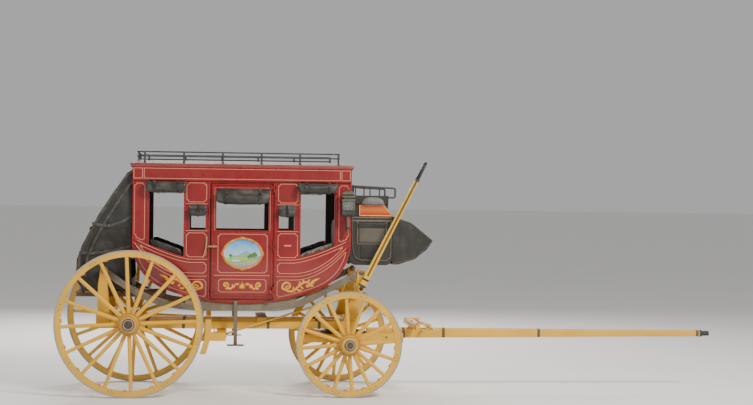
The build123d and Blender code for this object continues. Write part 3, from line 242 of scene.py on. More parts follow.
def fine(points, step):
    """A polyline with more points on its long runs."""
    found = [Vector(points[0])]
    for a, b in zip(points, points[1:]):
        a, b = Vector(a), Vector(b)
        parts = max(1, int((b - a).length / step))
        found.extend(a.lerp(b, k / parts) for k in range(1, parts + 1))
    return found


def piece(name, shape, look, body, bevel=0.0, smooth=40, thick=0.0):
    """Makes a mesh object of one look that rides on a body, from a shape or a list of shapes."""
    points, faces = merged(shape) if isinstance(shape, list) else shape
    mesh = bpy.data.meshes.new(name)
    mesh.from_pydata([tuple(p) for p in points], [], faces)
    mesh.validate()
    mesh.update()
    obj = bpy.data.objects.new(name, mesh)
    bpy.context.scene.collection.objects.link(obj)
    mesh.materials.append(look)
    mesh.shade_smooth()
    mesh.set_sharp_from_angle(angle=radians(smooth))
    if thick:
        solid = obj.modifiers.new("thickness", "SOLIDIFY")
        solid.thickness = thick
        solid.offset = 0
    if bevel:
        edge = obj.modifiers.new("edge", "BEVEL")
        edge.width = bevel
        edge.segments = 2
        edge.limit_method = "ANGLE"
        edge.angle_limit = radians(35)
    if body:
        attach(obj, body)
    return obj


# Looks: one function for each kind of surface

MIX_A, MIX_B, MIX_RESULT = 6, 7, 2  # colour sockets of a Mix node, whose names repeat
RED = (0.245, 0.0080, 0.0080)
RED_SHADE = (0.165, 0.0045, 0.0055)
# lighter red of the raised mouldings: painted highlight along the beads
RED_HIGHLIT = (0.285, 0.0130, 0.0120)
STRIPE = (0.70, 0.265, 0.155)
DUST = (0.42, 0.31, 0.19)
STRAW = (0.74, 0.412, 0.024)
STRAW_SHADE = (0.60, 0.305, 0.015)
ROAD_DIRT = (0.44, 0.335, 0.140)


class Look:
    """A node material with short calls for its texture nodes."""

    def __init__(self, name):
        self.made = bpy.data.materials.new(name)
        self.made.use_nodes = True
        self.tree = self.made.node_tree
        self.shader = self.tree.nodes["Principled BSDF"]
        self.place = self.add("ShaderNodeTexCoord").outputs["Object"]

    def put(self, socket, value):
        """Another node's output, a colour or a number, into a socket."""
        if isinstance(value, bpy.types.NodeSocket):
            self.tree.links.new(value, socket)
        elif socket.type == "RGBA":
            socket.default_value = (*value, 1)
        else:
            socket.default_value = value

    def add(self, kind, inputs=(), **values):
        node = self.tree.nodes.new(kind)
        for key, value in values.items():
            setattr(node, key, value)
        for key, value in dict(inputs).items():
            self.put(node.inputs[key], value)
        return node

    def stretched(self, scale):
        return self.add("ShaderNodeMapping", {"Scale": scale, "Vector": self.place}).outputs["Vector"]

    def noise(self, scale, detail=4.0, roughness=0.55, where=None):
        return self.add("ShaderNodeTexNoise", {
            "Scale": scale, "Detail": detail, "Roughness": roughness, "Vector": where or self.place,
        }).outputs["Fac"]

    def cells(self, scale):
        return self.add("ShaderNodeTexVoronoi", {"Scale": scale, "Vector": self.place}).outputs["Distance"]

    def ranged(self, value, low, high, to_low=0.0, to_high=1.0):
        return self.add("ShaderNodeMapRange", {
            "From Min": low, "From Max": high, "To Min": to_low, "To Max": to_high, "Value": value,
        }).outputs["Result"]

    def calc(self, a, b, operation="MULTIPLY"):
        return self.add("ShaderNodeMath", {0: a, 1: b}, operation=operation).outputs[0]

    def mixed(self, share, a, b):
        inputs = {"Factor": share, MIX_A: a, MIX_B: b}
        return self.add("ShaderNodeMix", inputs, data_type="RGBA").outputs[MIX_RESULT]

    def axis(self, letter, source=None):
        return self.add("ShaderNodeSeparateXYZ", {0: source or self.place}).outputs[letter]

    def bump(self, height, strength, distance, after=None):
        inputs = {"Strength": strength, "Distance": distance, "Height": height}
        if after:
            inputs["Normal"] = after
        return self.add("ShaderNodeBump", inputs).outputs["Normal"]

    def set(self, **values):
        """Values or outputs for the shader's own sockets."""
        for key, value in values.items():
            self.put(self.shader.inputs[key.replace("_", " ")], value)

    def colour(self, output):
        self.set(Base_Color=output)

    def rough(self, output):
        self.set(Roughness=output)

    def normal(self, output):
        self.set(Normal=output)

    def toned(self, scale, colour, shade):
        """Paint whose tone drifts between two colours."""
        return self.mixed(self.ranged(self.noise(scale, 5), 0.3, 0.72), colour, shade)

    def patches(self, low, high, least):
        """Uneven cover, from least to one."""
        return self.ranged(self.noise(9, 6, 0.65), low, high, least, 1.0)

    def varnished(self, low, high):
        """Uneven gloss of brushed varnish."""
        self.rough(self.ranged(self.noise(14, 5), 0.25, 0.8, low, high))


def painted(name, colour, shade, dust_top, dust_share, grain=(60, 60, 60), gloss=0.32, coat=0.35):
    """Brushed paint over wood: soft colour changes, faint grain, and road dust low down."""
    look = Look(name)
    base = look.toned(2.2, colour, shade)
    settled = look.ranged(look.axis("Z"), 0.0, dust_top, dust_share, 0.0)
    share = look.calc(settled, look.patches(0.32, 0.68, 0.15))
    look.colour(look.mixed(share, base, DUST))
    look.varnished(gloss - 0.08, gloss + 0.2)
    long_grain = look.noise(1.0, 6, 0.6, look.stretched(grain))
    look.normal(look.bump(long_grain, 0.12, 0.0012))
    look.set(Coat_Weight=coat, Coat_Roughness=0.18, Specular_IOR_Level=0.45)
    return look.made


def leather(name, colour, worn, crease=7, gloss=0.48, crease_depth=0.004):
    """Oiled leather: fine pores, creases, and paler wear along the high places; where the paler colour is very
    pale, as on the front welts, it is painted glints.
    """
    look = Look(name)
    creases = look.noise(crease, 7, 0.62)
    wear_and_glint_mask = look.ranged(creases, 0.46, 0.74)
    patches = look.ranged(look.noise(2.6, 4), 0.35, 0.7, 0.25, 1.0)
    look.colour(look.mixed(look.calc(wear_and_glint_mask, patches), colour, worn))
    look.rough(look.ranged(creases, 0.3, 0.75, gloss - 0.1, gloss + 0.18))
    first = look.bump(creases, 0.55, crease_depth)
    pores = look.cells(900)
    look.normal(look.bump(pores, 0.25, 0.0006, first))
    look.set(Specular_IOR_Level=0.4, Sheen_Weight=0.12, Sheen_Roughness=0.5)
    return look.made


def metal(name, colour, rust, rust_share=0.5, gloss=0.5, metallic=0.6, scale=22):
    """Forged or cast metal: uneven skin, with rust or dirt in patches."""
    look = Look(name)
    spots = look.noise(scale, 7, 0.66)
    look.colour(look.mixed(look.ranged(spots, 0.5, 0.72, 0, rust_share), colour, rust))
    look.rough(look.ranged(spots, 0.3, 0.75, gloss - 0.1, gloss + 0.25))
    look.normal(look.bump(look.noise(scale * 9, 4), 0.3, 0.0008))
    look.set(Metallic=metallic)
    return look.made


def wood(name, colour, dark, along=(3, 40, 40), gloss=0.5):
    """Oiled timber whose grain runs along x unless along says otherwise."""
    look = Look(name)
    fibres = look.noise(1.0, 8, 0.65, look.stretched(along))
    look.colour(look.mixed(look.ranged(fibres, 0.3, 0.7), dark, colour))
    look.rough(look.ranged(fibres, 0.2, 0.8, gloss - 0.1, gloss + 0.15))
    look.normal(look.bump(fibres, 0.3, 0.0012))
    return look.made


def gilt(name, colour, shade):
    """Gold size and leaf: warm and a little uneven."""
    look = Look(name)
    look.colour(look.mixed(look.ranged(look.noise(38, 4), 0.35, 0.68), colour, shade))
    look.rough(look.ranged(look.noise(70, 3), 0.3, 0.7, 0.30, 0.53))
    look.set(Metallic=0.25, Coat_Weight=0.3, Coat_Roughness=0.2)
    return look.made


def lined(name, outer_colour, outer_shade, lining, lining_dark):
    """Body paint on faces that look outward, and on faces that look inward a leather lining painted near black
    as shade inside the body.
    """
    look = Look(name)
    base = look.toned(2.2, outer_colour, outer_shade)
    settled = look.ranged(look.axis("Z"), 0.95, 1.4, 0.10, 0.0)
    outside = look.mixed(look.calc(settled, look.patches(0.32, 0.68, 0.1)), base, DUST)
    # inward faces: leather lining darkened to near black, as painted shade inside the body
    inside = look.mixed(look.ranged(look.noise(6, 6), 0.4, 0.7), lining, lining_dark)
    normals = look.add("ShaderNodeTexCoord").outputs["Normal"]
    facing = look.calc(look.axis("Y", normals), look.axis("Y"))
    inward = look.ranged(facing, -0.12, -0.05, 1.0, 0.0)
    look.colour(look.mixed(inward, outside, inside))
    look.varnished(0.24, 0.5)
    look.normal(look.bump(look.noise(1.0, 6, 0.6, look.stretched((14, 60, 60))), 0.1, 0.0012))
    look.set(Coat_Weight=0.35, Coat_Roughness=0.16)
    return look.made


def wheel_look(name, axle_x, wheel_r):
    """Straw paint, dusty towards the rim's edge, darker towards the hub as painted shade on the spoke roots and
    the hub, with worn iron on the cap outside the hub's end.
    """
    look = Look(name)
    base = look.toned(2.6, STRAW, STRAW_SHADE)
    settled = look.ranged(look.axis("Z"), 0.0, 0.8, 0.22, 0.03)
    across = look.calc(look.calc(look.axis("X"), mid_x + axle_x, "SUBTRACT"), 2, "POWER")
    upright = look.calc(look.calc(look.axis("Z"), wheel_r, "SUBTRACT"), 2, "POWER")
    away = look.calc(look.calc(across, upright, "ADD"), 0.5, "POWER")
    edge = look.ranged(away, wheel_r - 0.034, wheel_r - 0.024, 0.0, 0.8)
    # darker towards the hub: painted shade on the spoke roots and the hub
    root = look.ranged(away, 0.170, 0.110, 0.0, 0.35)
    dusty = look.calc(look.calc(settled, look.patches(0.36, 0.7, 0.1)), edge, "MAXIMUM")
    paint = look.mixed(dusty, look.mixed(root, base, STRAW_SHADE), ROAD_DIRT)
    worn = look.ranged(look.noise(34, 6), 0.35, 0.7)
    cap_skin = look.mixed(worn, (0.150, 0.105, 0.075), (0.070, 0.045, 0.032))
    away_y = look.calc(look.axis("Y"), 0.0, "ABSOLUTE")
    far_out = look.ranged(away_y, cap_y - 0.0005, cap_y + 0.0005)
    look.colour(look.mixed(far_out, paint, cap_skin))
    look.varnished(0.34, 0.6)
    look.set(Metallic=look.calc(far_out, 0.6))
    look.normal(look.bump(look.noise(30, 6, 0.6), 0.12, 0.0012))
    look.set(Specular_IOR_Level=0.45)
    return look.made


# its two dark lining colours are painted shade on the body's inner faces
body_paint = lined("body_paint", RED, RED_SHADE, (0.030, 0.018, 0.014), (0.055, 0.036, 0.028))
panel_paint = painted("panel_paint", RED, RED_SHADE, 1.4, 0.1, (14, 60, 60), 0.3, 0.4)
# Raised beads, the roof's reveal and the front wall's beads get a lighter red than the body, as painted
# highlight
highlit_moulding_paint = painted("highlit_moulding_paint", RED_HIGHLIT, RED, 1.4, 0.12, (14, 60, 60), 0.28, 0.4)
stripe_paint = painted("stripe_paint", STRIPE, (0.72, 0.28, 0.17), 1.4, 0.3, gloss=0.4, coat=0.2)
gear_paint = painted("gear_paint", STRAW, STRAW_SHADE, 1.0, 0.16, (7, 70, 70), 0.42, 0.15)
wheel_paint = wheel_look("front_wheel_paint", front_axle_x, front_wheel_r)
rear_wheel_paint = wheel_look("rear_wheel_paint", rear_axle_x, rear_wheel_r)
dark_stripe = painted("dark_stripe", (0.035, 0.022, 0.018), (0.02, 0.014, 0.012), 1.2, 0.2)
black_leather = leather("black_leather", (0.0105, 0.0100, 0.0085), (0.145, 0.138, 0.118), crease=9, gloss=0.40,
                        crease_depth=0.007)
roll_leather = leather("roll_leather", (0.024, 0.0225, 0.0190), (0.125, 0.119, 0.101), crease=6, gloss=0.36,
                       crease_depth=0.003)
boot_leather = leather("boot_leather", (0.0200, 0.0190, 0.0160), (0.066, 0.062, 0.052), crease=4.5,
                       crease_depth=0.010)
seat_leather = leather("seat_leather", (0.075, 0.030, 0.016), (0.16, 0.085, 0.05))
grey_leather = leather("grey_leather", (0.115, 0.118, 0.112), (0.24, 0.24, 0.22), crease=9)
brace_leather = leather("brace_leather", (0.190, 0.158, 0.108), (0.38, 0.325, 0.235), crease=14,
                        gloss=0.62, crease_depth=0.002)
strap_leather = leather("strap_leather", (0.040, 0.036, 0.030), (0.13, 0.12, 0.10), crease=16,
                        crease_depth=0.001)
# pale flecks on dark leather: painted glints on the front welts
glint_spotted_leather = leather("glint_spotted_leather", (0.060, 0.052, 0.042), (0.42, 0.39, 0.33), crease=26, gloss=0.4)
clip_iron = metal("clip_iron", (0.115, 0.080, 0.035), (0.16, 0.10, 0.045), 0.6, 0.55, 0.3)
tan_leather = leather("tan_leather", (0.34, 0.17, 0.06), (0.50, 0.30, 0.13), crease=30, crease_depth=0.001)
rim_leather = leather("rim_leather", (0.125, 0.108, 0.078), (0.26, 0.225, 0.165), crease=18, gloss=0.55,
                      crease_depth=0.0015)
lever_stripe_paint = painted("lever_stripe_paint", (0.125, 0.085, 0.012), (0.080, 0.055, 0.010), 1.2, 0.1)
lamp_tin = metal("lamp_tin", (0.135, 0.128, 0.096), (0.060, 0.054, 0.042), 0.8, 0.45, 0.35, 30)
iron = metal("iron", (0.040, 0.040, 0.042), (0.11, 0.062, 0.035), 0.5, 0.52, 0.5)
# dark iron of the lamp's base, darker than the case as painted shade under the lamp
shaded_lamp_iron = metal("shaded_lamp_iron", (0.045, 0.048, 0.046), (0.12, 0.12, 0.10), 0.6, 0.45, 0.4)
worn_iron = metal("worn_iron", (0.185, 0.155, 0.125), (0.25, 0.145, 0.075), 0.7, 0.5, 0.7)
tyre_iron = metal("tyre_iron", (0.36, 0.29, 0.20), (0.42, 0.32, 0.20), 0.8, 0.55, 0.25, 30)
brass = metal("brass", (0.62, 0.40, 0.14), (0.30, 0.17, 0.06), 0.5, 0.3, 0.9, 30)
rail_iron = metal("rail_iron", (0.055, 0.055, 0.055), (0.16, 0.14, 0.11), 0.5, 0.5, 0.5)
gold = gilt("gold", (0.82, 0.37, 0.026), (0.62, 0.205, 0.014))
gold_pale = gilt("gold_pale", (0.93, 0.60, 0.13), (0.84, 0.45, 0.055))
# near black boards; on the door stops this look is painted shade in the door gaps
dark_boards_and_gap_shade = painted("dark_boards_and_gap_shade", (0.0160, 0.0140, 0.0115), (0.030, 0.026, 0.021), 1.9, 0.04,
                      (8, 60, 60), 0.45, 0.15)
plain_wood = wood("plain_wood", (0.32, 0.19, 0.09), (0.17, 0.09, 0.04))
rack_wood = wood("rack_wood", (0.20, 0.115, 0.055), (0.10, 0.055, 0.028), (3, 30, 40))
roof_canvas = wood("roof_canvas", (0.150, 0.052, 0.040), (0.085, 0.026, 0.021), (30, 30, 30), 0.7)
roof_edge_paint = painted("roof_edge_paint", (0.22, 0.030, 0.026), (0.165, 0.014, 0.014), 3.5, 0.22)
sill_wood = wood("sill_wood", (0.26, 0.20, 0.13), (0.15, 0.11, 0.07), (3, 40, 40), 0.65)


def lamp_glass():
    """Clear flint panes, a little dusty."""
    look = Look("lamp_glass")
    look.colour(look.mixed(look.ranged(look.noise(20), 0.4, 0.7), (0.55, 0.58, 0.55), (0.40, 0.42, 0.38)))
    look.set(Transmission_Weight=0.75, Roughness=0.12, IOR=1.45, Alpha=1.0)
    return look.made


def sign_ground():
    """The seat board's ground: orange-yellow at the middle, red towards its edges."""
    look = Look("sign_ground")
    height = look.axis("Z")
    band = look.calc(look.ranged(height, 1.965, 2.02), look.ranged(height, 2.085, 2.03))
    warm = look.mixed(band, (0.36, 0.020, 0.010), (0.60, 0.145, 0.014))
    look.colour(look.mixed(look.ranged(look.noise(16), 0.45, 0.75, 0, 0.35), warm, (0.30, 0.03, 0.02)))
    look.set(Roughness=0.35, Coat_Weight=0.35)
    return look.made


boot_panel_leather = leather("boot_panel_leather", (0.090, 0.078, 0.057), (0.185, 0.160, 0.120), crease=6)
wheel_shade = painted("wheel_shade", (0.44, 0.215, 0.020), (0.33, 0.15, 0.014), 1.4, 0.2)
glass = lamp_glass()
board_ground = sign_ground()

SLOT_LOOKS = {
    "painted_body": body_paint, "painted_gear": gear_paint, "dark_iron": iron, "tyre_iron": tyre_iron,
    "dark_wood": dark_boards_and_gap_shade, "plain_wood": plain_wood, "roof_canvas": roof_canvas,
    "black_leather": black_leather, "seat_leather": seat_leather, "brace_leather": brace_leather,
}
NODE_LOOKS = {
    "body_floor": panel_paint, "front_wall": panel_paint, "rear_wall": panel_paint,
    "side_boards": board_ground, "rear_rack": rack_wood, "roof_rail": rail_iron,
    "brake_rod": gear_paint, "perch_irons": gear_paint, "steps": worn_iron, "body_sills": sill_wood,
    "seat_rail": rail_iron, "wheel_front_right": wheel_paint, "wheel_front_left": wheel_paint,
    "wheel_rear_right": rear_wheel_paint, "wheel_rear_left": rear_wheel_paint,
}
for part in frame["record"]["subparts"]:
    slots = nodes[part["node"]].data.materials
    slots.clear()
    slots.append(NODE_LOOKS.get(part["node"], SLOT_LOOKS[part["material_slot"]]))


# The side's surface, and lines, strips and mouldings that lie on it

def circle_through(a, b, c):
    """Centre and radius of the circle through three points of a plane."""
    (ax, ay), (bx, by), (cx, cy) = a, b, c
    d = 2 * (ax * (by - cy) + bx * (cy - ay) + cx * (ay - by))
    ux = ((ax**2 + ay**2) * (by - cy) + (bx**2 + by**2) * (cy - ay) + (cx**2 + cy**2) * (ay - by)) / d
    uy = ((ax**2 + ay**2) * (cx - bx) + (bx**2 + by**2) * (ax - cx) + (cx**2 + cy**2) * (bx - ax)) / d
    return (ux, uy), hypot(ax - ux, ay - uy)


turn_bulge = ((floor_half + belt_half) / 2 + 0.022, (belly_z + turn_under_top_z) / 2)
turn_centre, turn_r = circle_through((floor_half, belly_z), turn_bulge, (belt_half, turn_under_top_z))


def side_out(z):
    """Half width of the body's outer side at a height."""
    if z < belly_z:
        return floor_half
    if z < turn_under_top_z:
        return turn_centre[0] + sqrt(turn_r**2 - (z - turn_centre[1])**2)
    if z < belt_z:
        return belt_half
    return belt_half + (roofline_half - belt_half) * (z - belt_z) / (roofline_z - belt_z)


def hull_low(x):
    """Height of the body's under edge at a station."""
    x = min(abs(x), body_half)
    if x < knee_x:
        return belly_z + belly_r - sqrt(belly_r**2 - x**2)
    reach = x - (body_half - quarter_r)
    return belt_z - sqrt(max(0, quarter_r**2 - reach**2))


def on_side(x, z, side, out=0.0, base=None):
    """A point on the body's side, out from its surface."""
    return at(x, side * ((base or side_out(z)) + out), z)


def flat_stripe(width):
    """Profile of a painted line: just proud of the surface."""
    half, proud = width / 2, 0.0009
    return [(-half, SUNK), (-half, proud), (half, proud), (half, SUNK)]


bead_root = -0.002


def bead(width, proud):
    """Profile of a half-round moulding."""
    count = 5
    arc = [(-cos(pi * k / count) * width / 2, sin(pi * k / count) * proud) for k in range(count + 1)]
    return [(-width / 2, bead_root), *arc, (width / 2, bead_root)]


def flat_bead(width, proud):
    """Profile of a flat moulding with eased edges."""
    ease = min(width * 0.25, proud * 0.6)
    half = width / 2
    return [(-half, bead_root), (-half, proud - ease), (-half + ease, proud), (half - ease, proud),
            (half, proud - ease), (half, bead_root)]


def raised(profile, by):
    """The same profile, further out."""
    return [(u, v + by) for u, v in profile]


def along_side(path, profile, side, closed=False, base=None, step=0.05):
    """A strip of one profile along an (x, z) path on the side."""
    if not closed:
        runs = [(p.x, p.y) for p in fine([(x, z, 0) for x, z in path], step)]
    else:
        runs = [(p.x, p.y) for p in fine([(x, z, 0) for x, z in [*path, path[0]]], step)][:-1]
    count = len(runs)
    rings = []
    for i, (x, z) in enumerate(runs):
        before = Vector(runs[i - 1]) if i or closed else None
        after = Vector(runs[(i + 1) % count]) if i < count - 1 or closed else None
        here = Vector((x, z))
        d1 = (here - before).normalized() if before is not None else (after - here).normalized()
        d2 = (after - here).normalized() if after is not None else d1
        n1, n2 = Vector((-d1.y, d1.x)), Vector((-d2.y, d2.x))
        n = (n1 + n2).normalized() if (n1 + n2).length > 1e-6 else n1
        n = n / max(MITRE_LEAST, n.dot(n1))
        rings.append([on_side(x + n.x * u, z + n.y * u, side, v, base) for u, v in profile])
    return skin(rings, closed=closed)


def notched(points, radius):
    """An outline whose corners are cut by small hollow arcs, as coach painters line a panel."""
    count = 6
    found = []
    total = len(points)
    for i, p in enumerate(points):
        here = Vector(p)
        a, b = Vector(points[i - 1]) - here, Vector(points[(i + 1) % total]) - here
        turn = a.angle(b)
        if turn > radians(150):
            found.append(tuple(here))
            continue
        start = atan2(a.y, a.x)
        sweep_by = (atan2(b.y, b.x) - start + pi) % (2 * pi) - pi
        for k in range(count):
            angle = start + sweep_by * k / (count - 1)
            found.append((here.x + radius * cos(angle), here.y + radius * sin(angle)))
    return found


def corners_of(x0, x1, z0, z1):
    return [(x0, z0), (x1, z0), (x1, z1), (x0, z1)]


def belt(x, low, high, power):
    """Height of a belt moulding: level near the door, then curving up towards the body's ends."""
    level_to = 0.560
    share = max(0.0, (abs(x) - level_to) / (body_half - level_to))
    return low + (high - low) * share**power


def belt_top(x):
    return belt(x, 1.474, 1.700, 1.4)


def belt_low(x):
    return belt(x, 1.292, 1.668, 2)


def span(x0, x1, height, count):
    """Points of a curve z = height(x) between two stations."""
    xs = [x0 + (x1 - x0) * k / (count - 1) for k in range(count)]
    return [(x, height(x)) for x in xs]


stripe_w = 0.0052
notch_r = 0.022
inner_x = 0.350
end_x = body_half - 0.020
pillar_x = 0.3555


# Belt and pillar mouldings, window beads and painted lines of the two sides

def end_run(points, end):
    """The same path at the front (1) or rear (-1) end."""
    return [(end * x, z) for x, z in points]


def directed(path):
    """Each point (x, z) of a path with the path's direction there."""
    for i, (x, z) in enumerate(path):
        (x0, z0), (x1, z1) = path[max(0, i - 1)], path[min(len(path) - 1, i + 1)]
        yield x, z, Vector((x1 - x0, z1 - z0)).normalized()


def inset_by(edge, depth):
    """An edge line moved into the side."""
    return [(x - d.y * depth, z + d.x * depth) for x, z, d in directed(edge)]


def framed(outline, out):
    """A four-cornered outline, grown."""
    cx, cz = (sum(p[i] for p in outline) / 4 for i in (0, 1))
    return [(x + (out if x > cx else -out), z + (out if z > cz else -out)) for x, z in outline]


hull_edge = [(x, hull_low(x)) for x in [0.02 * i for i in range(42)]]
hull_edge += [(body_half - quarter_r + quarter_r * sin(a), belt_z - quarter_r * cos(a))
              for a in [knee_angle + (pi / 2 - knee_angle) * i / 24 for i in range(25)]]
hull_edge += [(body_half, 1.9), (body_half, cornice_bottom_z)]
windows = (
    corners_of(small_window_x - small_window_half, small_window_x + small_window_half, small_sill_z,
               small_top_z),
    [(large_near_x, large_near_z), (large_far_x, large_far_z), (large_far_x, large_top_z),
     (large_near_x, large_top_z)],
)

bead_x, panel_x = 0.362, inner_x + 0.034
rail_bead = bead(0.015, 0.008)
# Of one end: (path, profile, closed)
end_beads = [
    *((span(bead_x, end_x, height, 30), bead(0.020, 0.009), False) for height in (belt_top, belt_low)),
    *(([(bead_x, z), (0.620, z)], rail_bead, False) for z in (rail_high_z, rail_low_z)),
    ([(pillar_x, hull_low(pillar_x) + 0.014), (pillar_x, cornice_bottom_z)], bead(0.021, 0.010), False),
    *(([(x, belt_top(x)), (x, cornice_bottom_z)], rail_bead, False) for x in (0.612, 1.016)),
    (inset_by(hull_edge, 0.011), flat_bead(0.020, 0.009), False),
    *((framed(outline, 0.007), bead(0.013, 0.006), True) for outline in windows),
]
low_line = [(x, z) for x, z in inset_by(hull_edge, 0.042) if x > inner_x + 0.036 and z < belt_low(x) - 0.045]
panels = (
    [*span(panel_x, 1.128, lambda x: belt_low(x) - 0.036, 22), *reversed(low_line),
     (panel_x, low_line[0][1])],
    [*span(panel_x, 1.085, lambda x: belt_low(x) + 0.034, 18),
     *reversed(span(panel_x, 1.085, lambda x: belt_top(x) - 0.034, 18))],
    corners_of(0.386, 0.597, 2.090, 2.294),
    corners_of(0.386, 0.597, 1.500, 1.757),
    [(1.044, belt_top(1.044) + 0.030), (1.152, belt_top(1.152) + 0.026), (1.152, 2.284), (1.044, 2.284)],
)
end_lines = [
    *((notched(outline, notch_r), flat_stripe(stripe_w), True) for outline in panels),
    *(([(0.374, z), (0.606, z)], raised(flat_stripe(0.0045), 0.0076), False)
      for z in (rail_high_z, rail_low_z)),
    *((span(0.374, 1.12, height, 26), raised(flat_stripe(0.005), 0.0086), False)
      for height in (belt_top, belt_low)),
]
cornice_line = flat_stripe(0.0055)
cornice_z = (2.338, 2.446)  # painted line's bottom and top
cornice_bead_z = (cornice_bottom_z + 0.006, 2.456)
stop_profile = [(-0.017, -0.0385), (-0.017, -0.0308), (0.017, -0.0308), (0.017, -0.0385)]

for side_name, side in SIDES:
    beads, lines = [], []
    for end in (1, -1):
        beads += [along_side(end_run(path, end), profile, side, closed) for path, profile, closed in end_beads]
        lines += [along_side(end_run(path, end), profile, side, closed) for path, profile, closed in end_lines]
        lines.append(along_side(end_run(corners_of(1.070, 1.162, *cornice_z), end), cornice_line, side, True,
                                cornice_face))
    lines.append(along_side(corners_of(-1.052, 1.052, *cornice_z), cornice_line, side, True, cornice_face))
    # Near black strips behind the door gaps: painted shade in the gaps
    stops = [along_side([(x, door_bottom_z + 0.02), (x, door_top_z)], stop_profile, side)
             for x in (-door_half - 0.004, door_half + 0.004)]
    piece(f"door_stops_{side_name}", stops, dark_boards_and_gap_shade, "coach")
    lines.append(along_side([(0.452, 1.628), (0.528, 1.628)], flat_stripe(0.012), side))
    for z, profile in zip(cornice_bead_z, (flat_bead(0.018, 0.006), flat_bead(0.014, 0.005))):
        beads.append(along_side([(-body_half, z), (body_half, z)], profile, side, base=cornice_face))
    piece(f"side_mouldings_{side_name}", beads, highlit_moulding_paint, "coach")
    piece(f"side_lines_{side_name}", lines, stripe_paint, "coach")


# Curves, ribbons and leaves of the painted ornament, and the doors' trim

def ellipse(cx, cz, a, b, count=72):
    return [(cx + a * cos(t), cz + b * sin(t)) for t in turn_of(count)]


def spiral(centre, r0, r1, start, turns, count=40):
    """Points from radius r0 to r1; a negative turns winds the other way."""
    found = []
    for i in range(count):
        t = i / (count - 1)
        r, a = r0 + (r1 - r0) * t, radians(start) + 2 * pi * turns * t
        found.append((centre[0] + r * cos(a), centre[1] + r * sin(a)))
    return found


def curve_through(points, count=10):
    """A smooth curve through points."""
    found = []
    total = len(points)
    for i in range(total - 1):
        p0, p1 = Vector(points[max(0, i - 1)]), Vector(points[i])
        p2, p3 = Vector(points[i + 1]), Vector(points[min(total - 1, i + 2)])
        for k in range(count):
            t = k / count
            p = 0.5 * (2 * p1 + (p2 - p0) * t + (2 * p0 - 5 * p1 + 4 * p2 - p3) * t**2
                       + (3 * p1 - p0 - 3 * p2 + p3) * t**3)
            found.append(tuple(p))
    found.append(tuple(points[-1]))
    return found


def ribbon(path, width, side, high=0.0022, lift=0.0):
    """A domed brush stroke of varying width on the side."""
    rings = []
    profile = ((-1, SUNK), (-1, high * 0.35), (-0.5, high), (0.5, high), (1, high * 0.35), (1, SUNK))
    for i, (x, z, d) in enumerate(directed(path)):
        w = max(0.0008, width(i / (len(path) - 1))) / 2
        rings.append([on_side(x - d.y * u * w, z + d.x * u * w, side, v + lift) for u, v in profile])
    return skin(rings)


def dot(x, z, r, side):
    """A domed dot of paint."""
    return lathe([(0, r), (0.0022, r * 0.9), (0.0036, r * 0.4)], on_side(x, z, side), (0, side, 0), 14)


def leaf(root, angle, length, width, side, bend=0.0, lift=0.0):
    """A pointed leaf from its root."""
    path = []
    for i in range(12):
        t = i / 11
        a = radians(angle + bend * t)
        path.append((root[0] + length * t * cos(a), root[1] + length * t * sin(a)))
    return ribbon(path, lambda t: width * sin(pi * min(1, t * 0.92 + 0.06))**0.8, side, 0.0026, lift)


def leaf_pair(root, angle, length, width, side, hand, bend, share):
    """A leaf and its paler rib; hand -1 mirrors them from right to left."""
    angle = angle if hand > 0 else 180 - angle
    return (leaf(root, angle, length, width, side, hand * bend),
            leaf(root, angle, length * share[0], width * share[1], side, hand * bend, 0.0014))


def hull_scroll(side, end):
    """A C volute that runs into a leafy tendril, a common coach painter's ornament."""
    low, high = [], []

    def place(x, z):
        """A point of the front scroll, or its place on the rear end, where the scroll is longer."""
        if end > 0:
            return x, z
        start, rear_start, stretch, rise = 0.490, -0.482, 1.16, 0.10
        return rear_start - (x - start) * stretch, z + 0.004 + max(0.0, x - start) * rise

    tail = [(0.496, 1.131), (0.548, 1.134), (0.592, 1.164), (0.632, 1.205), (0.676, 1.232), (0.716, 1.230),
            (0.736, 1.206), (0.722, 1.184)]
    volute = [*spiral((0.492, 1.186), 0.010, 0.055, 150, 1.16, 34), *curve_through(tail, 8)[4:],
              *spiral((0.712, 1.196), 0.015, 0.007, -50, -0.8, 12)]
    main = [place(x, z) for x, z in volute]
    low.append(ribbon(main, lambda t: 0.012 + 0.014 * sin(pi * t)**1.1, side, 0.003))
    high.append(ribbon([(x, z + 0.0015) for x, z in main], lambda t: 0.003 + 0.006 * sin(pi * t)**1.1, side,
                       0.0042))
    low += [dot(*place(x, z), r, side)
            for x, z, r in ((0.500, 1.190, 0.0125), (0.709, 1.195, 0.0105), (0.577, 1.122, 0.0075))]
    leaves = ((0.600, 1.150, -30, 0.056, 0.022, 30), (0.640, 1.188, -62, 0.044, 0.019, 25),
              (0.560, 1.150, 112, 0.040, 0.016, -30), (0.628, 1.204, 112, 0.046, 0.019, -30),
              (0.735, 1.205, 18, 0.074, 0.024, 22), (0.742, 1.226, 36, 0.118, 0.026, -10),
              (0.715, 1.236, 66, 0.040, 0.018, -20), (0.740, 1.196, -24, 0.046, 0.018, 25),
              (0.675, 1.234, 140, 0.036, 0.015, -30))
    pairs = [leaf_pair(place(x, z), angle, length, width, side, end, bend, (0.72, 0.38))
             for x, z, angle, length, width, bend in leaves]
    return low + [whole for whole, rib in pairs], high + [rib for whole, rib in pairs]


